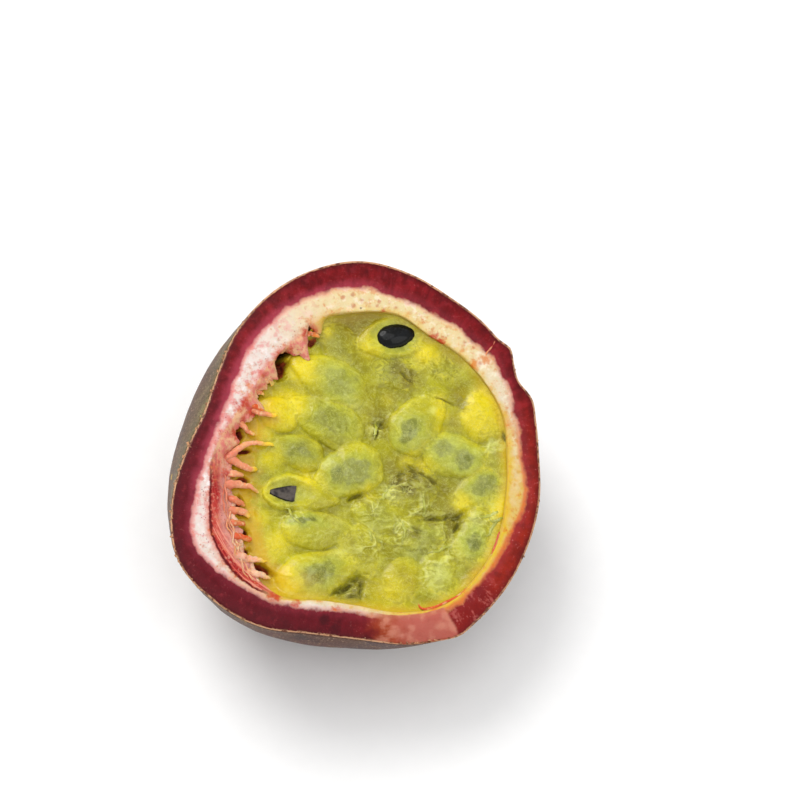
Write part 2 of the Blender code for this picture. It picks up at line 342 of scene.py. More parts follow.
def smooth_step(value, low, high):
    """0 below low, 1 above high, and a soft step between."""
    t = np.clip((value - low) / (high - low), 0, 1)
    return t * t * (3 - 2 * t)


print("noise at three spots:", wander(np.eye(3) * 9, 5.0).round(2))

# %% [markdown]
# ## The outlines in the cut
# Four closed lines share the cut: the skin, the crimson layer's inner edge, the white pith's
# inner edge and the edge of the cavity. Each is a ring of radii, 15 degrees apart, joined by a
# smooth curve. Small corners and dents come on top, each with its own angle, width and height.

# %% Outlines
# Radii of the four outlines, counted anticlockwise from the right.
SKIN_MM = (
    26.4, 26.5, 26.4, 26.7, 26.8, 27.7, 28.4, 27.8, 26.7, 25.2, 23.6, 23.2, 25.1, 27.8, 29.9,
    29.4, 28.3, 26.5, 26.5, 28.3, 29.6, 29, 28.1, 27.3,
)
CRIMSON_MM = (
    23.8, 23.6, 23.8, 23.6, 23.4, 23.9, 24.5, 24, 23.4, 22.2, 20.7, 20.6, 21.9, 24.3, 26.5, 25.5,
    24.3, 23.1, 22.9, 24.5, 25.8, 25.7, 25, 25.2,
)
PITH_MM = (
    21.9, 22, 21.4, 21, 20.4, 21.4, 21, 20.8, 19.2, 18.6, 18.2, 19.2, 21.2, 22.4, 24.3, 24.7,
    23.8, 21.7, 21.8, 23.6, 25.1, 24.7, 23.9, 22.4,
)
WALL_MM = (
    21.7, 21.9, 21.3, 20.8, 20.3, 21.3, 20.9, 20.4, 17.8, 17, 16.6, 16.9, 18.3, 18.7, 19.8, 21.7,
    23, 21.5, 21.6, 23.4, 24.8, 24.5, 23.5, 22.3,
)
# Small dents and corners: angle and width in degrees, height in millimetres.
SKIN_NICKS = (
    (35, 3.5, 0.75), (25, 4, -0.55), (17, 4, 0.3), (299, 4, 0.35), (281, 7, -0.1),
)
CRIMSON_WAVES = (
    (80, 5, -0.4), (35, 6, 0.35), (205, 5, 0.35), (262, 7, -0.3), (150, 8, 0.2),
)
# The lining's torn edge, in the same terms.
WALL_TEETH = (
    (107, 2.2, -1.6), (111, 1.2, 0.8), (116.5, 2.6, -2.6), (121, 1.5, -0.6), (128, 4.5, 1.4),
    (136, 2.5, -0.9), (140, 1.4, 0.5), (143, 2, -0.8), (147.5, 2.5, 0.7), (153, 2.6, -1.5),
    (157, 2, -0.6), (161, 1.8, -0.9), (166, 3.5, 0.7), (173, 1.6, -0.7), (180, 3, 0.5),
    (187, 1.5, -0.8), (193, 1.5, 0.4), (200, 1.6, -0.6), (207, 1.8, 0.4), (213, 1.5, -0.8),
)
# The fruit is a little longer along its core than across it.
CORE_DIRECTION = radians(40)
CORE_STRETCH = 1.06


def near(angle, centre, width, power=2):
    """1 at an angle, fading to 0 over width, both in degrees."""
    away = (angle - radians(centre) + pi) % (2 * pi) - pi
    return np.exp(-((away / radians(width)) ** power))


def between(angle, start, full, fade, end):
    """0 up to one angle, 1 from full to fade and 0 again from end on, all in degrees."""
    start, full, fade, end = (radians(a) for a in (start, full, fade, end))
    return smooth_step(angle, start, full) * (1 - smooth_step(angle, fade, end))


def ring(radii_mm, angle, bumps=()):
    """Radius at each angle, on a Catmull-Rom curve through evenly spaced radii."""
    radii = np.array(radii_mm)
    place = (angle / (2 * pi)) % 1.0 * len(radii)
    i = np.floor(place).astype(int)
    t = place - i
    a, b, c, d = (radii[(i + k) % len(radii)] for k in (-1, 0, 1, 2))
    curve = 2 * b + (c - a) * t + (2 * a - 5 * b + 4 * c - d) * t**2
    curve = (curve + (3 * b - a - 3 * c + d) * t**3) / 2
    for centre, width, height in bumps:
        curve = curve + height * near(angle, centre, width)
    return curve


def stretched(x, y, factor=CORE_STRETCH):
    """Lengthens the cut's plane along the core."""
    along = (x * cos(CORE_DIRECTION) + y * sin(CORE_DIRECTION)) * (factor - 1)
    return x + along * cos(CORE_DIRECTION), y + along * sin(CORE_DIRECTION)


def squeezed(x, y):
    """The other way: from the cut's plane to the outlines' own angles and radii."""
    return stretched(x, y, 1 / CORE_STRETCH)


def spots_at(x, y):
    """Points of the cut's plane, for the noise."""
    return np.column_stack([x, y, 0 * x])


def polar(radius, angle, z):
    """Points of the cut's frame from radii and angles."""
    x, y = stretched(radius * np.cos(angle), radius * np.sin(angle))
    return np.stack([x, y, np.broadcast_to(z, x.shape)], axis=-1)


print("skin at the top:", ring(SKIN_MM, np.array([pi / 2])).round(1), "mm")

# %% [markdown]
# ## Meshes from rings
# The wall and the pulp are both built like a closed pot: rings of points from the bottom's
# middle, up one side, over the top and down to the middle again. Numbers that a material needs
# later, such as how deep a point lies under the skin, are stored on the points as attributes.

# %% Building meshes
def mesh_object(name, points, faces, readings, edges=()):
    """A new object from points in metres. Readings are numbers or vectors for each point."""
    mesh = bpy.data.meshes.new(name)
    mesh.from_pydata(points.tolist(), edges, faces)
    for key, values in readings.items():
        values = np.asarray(values, np.float32)
        kind, slot = ("FLOAT", "value") if values.ndim == 1 else ("FLOAT_VECTOR", "vector")
        mesh.attributes.new(key, kind, "POINT").data.foreach_set(slot, values.ravel())
    mesh.shade_smooth()
    return put(name, mesh)


def turns_of(count):
    """Evenly spaced angles round a circle."""
    return np.arange(count) * (2 * pi / count)


def pot_faces(rings, around):
    """Faces of rings of points joined in a row, and of a point at each end, listed last."""
    faces = []
    first_pole, last_pole = rings * around, rings * around + 1
    for k in range(around):
        n = (k + 1) % around
        faces.append((first_pole, n, k))
        last = (rings - 1) * around
        faces.append((last_pole, last + k, last + n))
    for row in range(rings - 1):
        low, high = row * around, (row + 1) * around
        for k in range(around):
            n = (k + 1) % around
            faces.append((low + k, low + n, high + n, high + k))
    return faces


def pots_faces(count, rings, around):
    """Faces of several such pots of the same kind, one after another."""
    one = pot_faces(rings, around)
    size = rings * around + 2
    return [tuple(pot * size + i for i in face) for pot in range(count) for face in one]


def rounded(around, rings, thickness, power=1.0):
    """A closed drop along X, from -1 to 1: rings of points, then its two ends."""
    v = turns_of(around)
    upwards = np.sign(np.sin(v)) * np.abs(np.sin(v)) ** power
    points = []
    for psi in np.linspace(0, pi, rings + 2)[1:-1]:
        along = -cos(psi)
        thick = thickness(along, sin(psi))
        points.append(np.column_stack([0 * v + along, np.cos(v) * thick, upwards * thick]))
    return np.concatenate([*points, [[-1, 0, 0], [1, 0, 0]]])


print("a pot of 3 rings of 8 points has", len(pot_faces(3, 8)), "faces")

# %% [markdown]
# ## The wall of the fruit
# The real wall grew as one piece, so it is one mesh. Its outer side is a deep bowl that follows
# the CAD solid, and it is pressed flat where it rests. The cut face is nearly level, but soft
# layers never cut quite clean: the pith swells a little, and on the side of the pegs the thin
# inner lining slopes down into the cavity.

# %% The wall's shape
AROUND = 540
DEPTH_MM, WALL_AT_BACK_MM = 26.0, 6.2
CAVITY_DEPTH_MM = DEPTH_MM - WALL_AT_BACK_MM
# How square the bottom of the fruit and of the cavity are: higher is squarer.
BACK_POWER, CAVITY_POWER = 2.2, 2.4
BACK_RADIUS_MM, CAVITY_BACK_MM = 27.1, 21.2
BACK_SAG_MM, BACK_SAG_DIRECTION = 1.5, 262
# Angle and width in degrees, and height in millimetres, of swellings of the side.
SIDE_SWELLINGS = ((154, 26, 0.35), (214, 20, -0.35))
SKIN_ROWS, CUT_ROWS, INNER_ROWS = 58, 72, 34
# How far the skin is drawn in, and how softly the wall is pressed flat where it rests.
SOFT_MM = 0.12
angles = turns_of(AROUND)
skin_edge = ring(SKIN_MM, angles, SKIN_NICKS)
crimson_edge = ring(CRIMSON_MM, angles, CRIMSON_WAVES)
pith_edge = ring(PITH_MM, angles)
wall_edge = ring(WALL_MM, angles, WALL_TEETH)
torn = 0.45 * wander(polar(wall_edge, angles, 0.0), 0.9, 11, 3)
wall_edge = wall_edge + torn * between(angles, 104, 112, 225, 238)
# The lining's side of the wall, where the pegs stand: 1 there, 0 elsewhere.
placenta = between(angles, 104, 122, 228, 243)


def skin_row(fall):
    """One ring of the wall's outer side: fall is 0 at the cut and 1 at the bottom."""
    like_rim = (1 - fall) ** 2
    back = BACK_RADIUS_MM + BACK_SAG_MM * np.cos(angles - radians(BACK_SAG_DIRECTION))
    smooth_edge = ring(SKIN_MM, angles)
    radius = smooth_edge * like_rim + back * (1 - like_rim)
    radius = radius + (skin_edge - smooth_edge) * (1 - fall) ** 12
    for middle, width, height in SIDE_SWELLINGS:
        down = np.sin(pi * min(1.0, fall * 1.6)) ** 0.7
        radius = radius + height * near(angles, middle, width) * down
    return polar(radius * max(0.0, 1 - fall**BACK_POWER) ** 0.5, angles, -DEPTH_MM * fall)


def cavity_row(fall):
    """The same for the cavity's side."""
    like_rim = (1 - fall) ** 2
    radius = wall_edge * like_rim + CAVITY_BACK_MM * (1 - like_rim)
    inwards = np.maximum(0, 1 - fall**CAVITY_POWER) ** 0.5
    return polar(radius * inwards, angles, -CAVITY_DEPTH_MM * fall)


print("the cavity is", round(CAVITY_DEPTH_MM, 1), "mm deep")

# %% Relief of the cut face
FACET_DEPTH_MM, SKIN_EDGE_DROP_MM = 0.7, 0.16
# How far the lining slopes down at the cavity's edge.
EDGE_DROP_MM = 0.35 + 0.8 * placenta + 0.5 * near(angles, 90, 20)


def cut_height(radius):
    """The relief of the cut face at a radius for each angle."""
    edge = polar(radius, angles, 0.0)
    band = np.clip((skin_edge - radius) / (skin_edge - crimson_edge), 0, 1)
    spongy = smooth_step(crimson_edge - radius, -0.1, 0.6)
    past_pith = np.clip((pith_edge - radius) / np.maximum(pith_edge - wall_edge, 0.25), 0, 1)
    height = 0.10 * wander(edge, 7, 3) + 0.12 * np.sin(pi * band) * (1 - spongy)
    height -= SKIN_EDGE_DROP_MM * (1 - smooth_step(skin_edge - radius, 0.0, 0.45))
    height += spongy * (0.10 + 0.10 * wander(edge, 1.1, 4)) * (1 - past_pith)
    height -= EDGE_DROP_MM * past_pith**1.4
    layers = np.abs(wander(spots_at(radius * 2.2, angles * 6), 1.0, 9))
    height += placenta * past_pith * 0.35 * (layers - 0.4)
    # A slanted facet, where the knife slipped and took the skin's edge off.
    facet = near(angles, 289, 9, power=4) * smooth_step(radius, crimson_edge, skin_edge)
    height -= FACET_DEPTH_MM * facet
    return height


print("relief half way across the wall:", cut_height((skin_edge + wall_edge) / 2).round(2)[:4])

# %% Stains on the cut
def blob(x, y, middle_x, middle_y, size):
    """1 in the middle of a soft round spot, fading out over its radius."""
    return np.exp(-(((x - middle_x) ** 2 + (y - middle_y) ** 2) / size**2))


def spots_share(x, y, spots):
    """How much of a soft spot from a list of (x, y, radius, strength) covers each point."""
    flat = squeezed(x, y)
    share = np.zeros_like(x)
    for *place, strength in spots:
        share = np.maximum(share, strength * blob(*flat, *place))
    return share


# Where juice, bruises and torn fibres have stained the cut: x, y, radius, strength.
STAINS = {
    "red": (
        (10.9, 17.5, 0.9, 1), (11.9, 16.6, 0.7, 0.9), (-7.9, 17.9, 0.7, 0.8),
        (-16.6, 7.4, 1.2, 0.9), (-15.2, 6.5, 1, 0.9), (-17.4, 3.4, 1.2, 0.9),
        (-13.6, 11.6, 0.9, 0.5), (-12, -20.2, 1.1, 0.8), (-14.4, 9.8, 0.7, 0.5),
        (-18.4, 0.2, 1.1, 0.8), (-6.6, 18.2, 0.8, 0.8), (-9.9, 15.2, 0.6, 0.6),
        (-18.9, -2.6, 0.8, 0.8), (-16.6, 5.2, 0.6, 0.8), (-11.4, 14.3, 0.8, 0.7),
        (-9.3, -21.8, 1.1, 0.9), (-3.2, -22.3, 0.8, 0.6), (3.5, 21.2, 0.5, 0.6),
        (21.3, 2.6, 0.6, 0.5),
    ),
    "orange": (
        (18.4, 13.9, 1, 0.9), (17, 13.2, 1, 0.8), (-3, -23, 1, 0.8), (-6.8, 18.9, 0.9, 0.5),
        (-12.8, 9.4, 1.4, 0.7), (-15.8, 10, 0.8, 0.5), (15, 15.6, 0.9, 0.5),
        (0.4, 23.9, 0.6, 0.7), (21.8, 4.5, 0.9, 0.6), (-16.8, 9, 0.8, 0.6),
        (11, -22.5, 1.4, 0.7), (15.5, -19.8, 1.2, 0.6), (-8, -22.3, 0.8, 0.5),
    ),
    "dark": (
        (-5, -23.6, 1.1, 0.9), (0.2, 21.4, 0.25, 0.9), (-3.4, -24.9, 1.4, 0.7),
        (-1, -24.6, 1.2, 0.4),
    ),
}
print("stains:", {colour: len(spots) for colour, spots in STAINS.items()})

# %% Build the wall
rows, numbers, sheen_near_cut = [], [], []
for psi in np.linspace(radians(89.2), 0, SKIN_ROWS):
    fall = sin(psi)
    row = skin_row(fall)
    dents = 0.10 * wander(row, 6, 1) + 0.025 * wander(row, 1.3, 2)
    outwards = row / np.linalg.norm(row + [0, 0, 6], axis=1)[:, None]
    rows.append(row + outwards * (dents - SOFT_MM)[:, None] * min(1, fall * 8 + 0.15))
    numbers.append(np.tile([-2, -5, -5], (AROUND, 1)))
    # Painted sheen: near the cut on the left, the skin's colour takes a grey-olive reflection.
    sheen_near_cut.append((1 - fall) ** 7 * near(angles, 165, 60))
edges = (skin_edge, crimson_edge, pith_edge)
for share in np.linspace(0, 1, CUT_ROWS + 1)[1:] ** 1.05:
    radius = skin_edge - SOFT_MM + (wall_edge - skin_edge + SOFT_MM) * share
    ragged = 0.10 * wander(polar(skin_edge, angles, 0), 0.9, 6, 3)
    radius = radius + ragged * (1 - share) ** 3
    rows.append(polar(radius, angles, cut_height(radius)))
    numbers.append(np.column_stack([edge - radius for edge in edges]))
rim_end = rows[-1]
for step in range(1, INNER_ROWS + 1):
    start = EDGE_DROP_MM / CAVITY_DEPTH_MM
    psi = (step / INNER_ROWS) * radians(88.5)
    row = cavity_row(start + (1 - start) * sin(psi))
    row = row + 0.12 * wander(row, 2.5, 8)[:, None] * np.array([0.7, 0.7, 0.0])
    # The first rings blend into the rim.
    if step < 3:
        row = row * (step / 3) + rim_end * (1 - step / 3)
    rows.append(row)
    numbers.append(np.tile([9, 7, 5 + 0.2 * step], (AROUND, 1)))

poles = [[0, 0, SOFT_MM - DEPTH_MM], [0, 0, -CAVITY_DEPTH_MM]]
wall_points = np.concatenate([*rows, poles])
under_skin, past_crimson, past_pith = np.concatenate([*numbers, [[-2, -5, -5], [9, 7, 12]]]).T
turns = np.concatenate([np.tile(angles, len(rows)), [0, 0]])
world_points = in_world(wall_points)
# The wall rests on the floor: what would reach below it is pressed flat, softly.
z = world_points[:, 2] / MM
world_points[:, 2] = np.where(z > 4, z, SOFT_MM * np.logaddexp(0, z / SOFT_MM)) * MM
flat_radius = np.hypot(*squeezed(*wall_points.T[:2]))
on_cut_face = (wall_points[:, 2] > -2.5) & (under_skin > -1)
readings = {
    "under_skin": under_skin,
    "past_crimson": past_crimson,
    "past_pith": past_pith,
    "turn": np.column_stack([np.cos(turns), np.sin(turns), flat_radius / 25]),
    "facet": between(turns, 266, 284, 298.5, 300) * (under_skin > -1) * (past_crimson < 0.6),
    "sheen_near_cut": np.concatenate([*sheen_near_cut, np.zeros(len(turns) - len(sheen_near_cut) * AROUND)]),
    "peg_turns": between(turns, 104, 112, 234, 243),
    "band_turns": between(turns, 172, 192, 232, 243),
}
for key, spots in STAINS.items():
    readings[key] = on_cut_face * spots_share(*wall_points.T[:2], spots)
wall = mesh_object("rind_wall", world_points, pot_faces(len(rows), AROUND), readings)
print("wall:", len(wall.data.polygons), "faces")

# %% [markdown]
# ## Skin
# Ripe purple skin is never one colour: maroon, brown and lilac-grey regions, dark blotches,
# thousands of fine pale specks, and a few tan scabs where a leaf rubbed. Two sizes of Voronoi
# cells make specks and scabs, and noise breaks up both their edges and their number.

# %% Skin material
skin = Surface("rind_skin")
regions = skin.noise(12.0, 3.0, 0.55)
patches = skin.noise(4.0, 4.0, 0.62)
fine = skin.noise(0.30, 3.0, 0.6)
base = skin.paint(regions.rise(0.36, 0.52), (88, 48, 48), (92, 64, 54))
base.lay(regions.rise(0.52, 0.64), (92, 74, 74))
base.lay(patches.fall(0.36, 0.5) * 0.75, (52, 34, 38))
base.lay(patches.rise(0.56, 0.70) * 0.35, (118, 92, 72))
# Painted sheen: near the cut on the left the skin turns grey-olive, with lighter patches of painted
# highlight.
sheen_near_cut = skin.reading("sheen_near_cut")
base.lay(sheen_near_cut * (0.45 + patches * 0.7), (110, 104, 72))
base.lay(sheen_near_cut * skin.noise(1.8, 3.0).rise(0.52, 0.64) * 0.5, (150, 138, 96))
base.lay(fine.fall(0.34, 0.48) * 0.5, (46, 30, 30))
base.lay(fine.rise(0.52, 0.66) * 0.5, (150, 116, 96))
speck = skin.cells(0.62).fall(0.1, 0.34)
speck = speck * skin.noise(2.4, 3.0).rise(0.40, 0.58)
base.lay(speck * (1 - sheen_near_cut * 0.7) * 0.7, (180, 148, 120))
scab_edge = (skin.noise(0.7, 3.0) - 0.5) * 0.9
scab = (skin.cells(5.0) + scab_edge).fall(0.13, 0.2)
scab = scab * skin.noise(7.0, 1.0).rise(0.52, 0.56)
base.lay(scab * 0.9, skin.mix(patches, (206, 178, 84), (190, 152, 96)))
relief = skin.bump(fine * 0.7 + scab * 0.8, 0.05, 0.6)
skin.finish(
    base_color=base,
    specular=0.12,
    roughness=0.42 + patches * 0.16 + scab * 0.25,
    normal=relief,
)

# %% [markdown]
# ## The cut layers
# From the skin inwards the knife shows crimson flesh, darker towards the skin, then a blurred
# pink line, then spongy white pith with tiny brown dots, and on one side the pink lining in
# fine sheets. The stored depths say which layer a point is in. Noise is added to a depth before
# it is compared, so that the layers meet in soft, irregular lines.

# %% Cut material
flesh = Surface("rind_flesh")
under, past_crimson, past_pith = flesh.readings("under_skin past_crimson past_pith")
red, orange, dark = flesh.readings("red orange dark")
turn_vector = flesh.reading("turn", "Vector")
fine = flesh.noise(0.5, 3.0)
medium = flesh.noise(1.6, 3.0)
lobes = flesh.noise(3.2, 1.0)
streak = flesh.noise(1.0, 3.0, 0.6, vector=flesh.scaled(turn_vector, (26, 26, 9)), per_mm=1.0)
sheets = flesh.noise(1.0, 3.0, 0.6, vector=flesh.scaled(turn_vector, (3, 3, 60)), per_mm=1.0)
# Where on the ring: dark side at the lower left, orange side at the right.
dark_side = flesh.along(turn_vector, (-0.75, -0.66, 0)).rise(-0.1, 0.95)
warm_side = flesh.along(turn_vector, (0.82, -0.57, 0)).rise(0.45, 1.0)
top_side = flesh.along(turn_vector, (0.30, 0.95, 0)).rise(0.45, 0.95)
left_side = flesh.along(turn_vector, (-0.97, 0.2, 0)).rise(0.2, 0.9)
print("noises and sides take", len(flesh.tree.nodes), "nodes")

# %% Crimson layer
crimson = flesh.paint(medium.rise(0.3, 0.7), (92, 3, 9), (122, 10, 16))
crimson.lay(streak.rise(0.42, 0.7) * 0.45, (148, 30, 40))
crimson.lay(dark_side * (0.5 + medium * 0.5), (82, 3, 20))
crimson.lay(warm_side * (0.3 + medium * 0.5), (162, 40, 10))
outer_dark = (under + fine * 0.5).fall(0.2, 1.6)
crimson.lay(outer_dark * (0.6 + top_side * 0.2), (58, 3, 8))
upper_left = flesh.along(turn_vector, (-0.80, 0.60, 0)).rise(0.2, 0.95)
inner_haze = (past_crimson + medium * 1.2).rise(-1.1, 0.5)
crimson.lay(inner_haze * (0.15 + upper_left * 0.6), (176, 66, 84))
crimson.lay(flesh.noise(0.9, 2.0).rise(0.55, 0.75) * 0.3, (150, 44, 52))
crimson.lay(flesh.noise(2.4, 2.0).fall(0.3, 0.5) * 0.35, (60, 2, 10))
past_facet = flesh.along(turn_vector, (0.60, -0.80, 0)).rise(0.980, 0.997)
crimson.lay(past_facet * 0.6, (112, 8, 16))
# Painted highlights: pink streaks just past the facet, and pink glints, more of them on the right.
crimson.lay(past_facet * (streak * 0.7 + fine * 0.3).rise(0.50, 0.62) * 0.5, (196, 104, 96))
glints = flesh.noise(0.35, 2.0).rise(0.60, 0.72) * medium.rise(0.44, 0.60)
crimson.lay(glints * (0.15 + warm_side * 0.40), (196, 108, 104))
print("nodes with the crimson layer:", len(flesh.tree.nodes))

# %% White pith
pith = flesh.paint(medium.rise(0.35, 0.7), (218, 208, 196), (208, 190, 170))
pith.lay(left_side * 0.6, (224, 208, 204))
pith.lay(top_side * 0.7, (222, 200, 134))
blotch = flesh.noise(1.3, 3.0, 0.6)
pith.lay(left_side * blotch.rise(0.50, 0.64) * 0.8, (212, 136, 134))
pith.lay(left_side * blotch.rise(0.44, 0.30) * 0.8, (232, 224, 222))
not_left = 1 - left_side
pith.lay(not_left * blotch.rise(0.52, 0.64) * 0.6, (236, 226, 204))
pith.lay(not_left * blotch.fall(0.34, 0.44) * 0.6, (208, 150, 92))
dots = (flesh.cells(1.5) + (medium - 0.5) * 0.7 + (fine - 0.5) * 0.4).fall(0.08, 0.3)
dots = dots * flesh.noise(2.2, 1.0).rise(0.42, 0.56)
pith.lay(dots * 0.6, (176, 84, 48))
inner_dots = (flesh.cells(0.5) + fine * 0.2).fall(0.2, 0.36)
inner_dots = inner_dots * past_pith.rise(-1.9, -0.7) * left_side * blotch.rise(0.35, 0.5)
pith.lay(inner_dots * 0.85, (140, 44, 70))
pith.lay(warm_side * (0.5 + medium * 0.5), (210, 172, 52))
near_pulp = (past_pith + (medium - 0.5) * 1.4).rise(-1.0, 0.1)
pith.lay(near_pulp * not_left * (0.45 + warm_side * 0.5), (210, 176, 40))
warm_line = abs(past_crimson - 0.1 + (medium - 0.5) * 0.8).fall(0.1, 0.7) * warm_side
pith.lay(warm_line * 0.8, (206, 92, 34))
pith.lay(near_pulp * left_side * blotch.rise(0.3, 0.5) * 0.7, (206, 104, 84))
print("nodes with the pith:", len(flesh.tree.nodes))

# %% Pink lining
lining = flesh.paint(sheets.rise(0.36, 0.64), (150, 22, 28), (200, 78, 66))
lining.lay(sheets.rise(0.54, 0.68) * 0.8, (226, 152, 130))
membrane_part = (past_pith + (medium - 0.5) * 1.6).rise(1.3, 2.6)
lining.lay(membrane_part * (0.4 + blotch * 0.6), (218, 164, 150))
lining.lay(fine.rise(0.5, 0.7) * 0.5, (220, 162, 140))
purple = (flesh.cells(0.5) + fine * 0.2).fall(0.16, 0.3)
lining.lay(purple * membrane_part * 0.8, (110, 24, 50))
crack = abs(past_pith - 0.3 + (medium - 0.5) * 0.9 + (fine - 0.5) * 0.3).fall(0.06, 0.36)
lining.lay(crack * 0.95, (92, 8, 16))
peach = flesh.paint(blotch.rise(0.42, 0.58), (222, 172, 132), (214, 122, 112))
peach.lay(fine.rise(0.45, 0.65) * 0.6, (222, 180, 138))
peach.lay(purple * 0.7, (160, 40, 44))
lining.lay(1 - flesh.reading("band_turns"), peach)
pith_foot = flesh.mix(medium, (196, 158, 44), (212, 186, 92))
lining.lay(1 - flesh.reading("peg_turns"), pith_foot)
wall_colour = flesh.mix(left_side, (176, 140, 40), (110, 40, 14))
lining.lay(past_pith.rise(4.9, 5.6), wall_colour)
print("nodes with the lining:", len(flesh.tree.nodes))

# %% The layers together
border = past_crimson + (lobes - 0.5) * 1.1 + (medium - 0.5) * 0.8 + (fine - 0.5) * 0.4
to_pith = border.rise(-0.35, 0.35)
to_lining = (past_pith + (medium - 0.5) * 0.7 + (fine - 0.5) * 0.4).rise(-0.05, 0.25)
colour = flesh.paint(to_pith, crimson, pith)
pink_line = abs(border - 0.15).fall(0.0, 0.55) * (0.32 + left_side * 0.3 - warm_side * 0.25)
colour.lay(pink_line, (214, 118, 112))
colour.lay(to_lining, lining)
grain = fine * 0.5 + medium * 0.5
pale_part = to_pith * 0.9
colour.lay((red + grain * 3.0 - 1.5).rise(0.10, 1.0) * pale_part, (180, 40, 30))
colour.lay((orange + grain * 3.0 - 1.5).rise(0.05, 1.0) * pale_part * 0.85, (208, 118, 44))
colour.lay((dark + grain * 1.4 - 0.7).rise(0.3, 0.8) * 0.8, (62, 6, 14))
facet = flesh.reading("facet") * (0.55 + medium * 0.5)
pink_end = (flesh.along(turn_vector, (0.5, -0.87, 0)) + (medium - 0.5) * 0.05).rise(0.93, 0.985)
facet_colour = flesh.mix(pink_end, (160, 66, 26), (184, 98, 84))
pale_facet = (lobes * 0.5 + sheets * 0.15 + medium * 0.35).rise(0.46, 0.60)
facet_colour = flesh.mix(pale_facet * 0.6, facet_colour, (206, 140, 116))
colour.lay((facet + (medium - 0.5) * 0.5).rise(0.15, 0.75) * 0.85, facet_colour)
# A thin line along the skin's edge, from dark brown to tan: partly the torn edge's own colour, partly a
# painted highlight.
edge_noise = flesh.noise(0.8, 2.0)
skin_line = (under + (edge_noise - 0.5) * 0.7).fall(0.14, 0.34)
edge_colour = flesh.mix(edge_noise.rise(0.34, 0.52), (108, 64, 48), (198, 152, 116))
colour.lay(skin_line, edge_colour)
spongy = to_pith * (1 - to_lining)
relief = flesh.bump(streak, 0.05, 0.3, flesh.bump(flesh.noise(0.35, 3.0), 0.12, 0.6))
flesh.finish(
    base_color=colour,
    roughness=0.40 + spongy * 0.2 + fine * 0.14,
    specular=0.12,
    subsurface_weight=0.2,
    subsurface_radius=(1.0, 0.3, 0.2),
    subsurface_scale=0.8 * MM,
    coat_weight=0.07,
    coat_roughness=0.12,
    normal=relief,
)

# %% Put both materials on the wall
wall.data.materials.append(skin.material)
wall.data.materials.append(flesh.material)
skin_faces = AROUND * 2 + (SKIN_ROWS - 1) * AROUND
slots = np.ones(len(wall.data.polygons), np.int32)
slots[: 2 * AROUND : 2] = 0
slots[2 * AROUND : skin_faces] = 0
wall.data.polygons.foreach_set("material_index", slots)
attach(wall, "root")
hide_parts("rind")
print("faces of skin:", int((slots == 0).sum()))

# %% [markdown]
# ## Where the sacs lie
# Each juice sac is a drop: a blunt end, a narrow end that points to its stalk, and one seed
# inside. The top layer is laid out one by one, because on a real fruit the sacs differ: some are
# milky green with a clear dark seed, some are plain bright yellow, and two were opened by the
# knife. Their places match the CAD sacs.

# %% The table of sacs
SAC_TAPER, SAC_HEIGHT = 0.28, 0.8
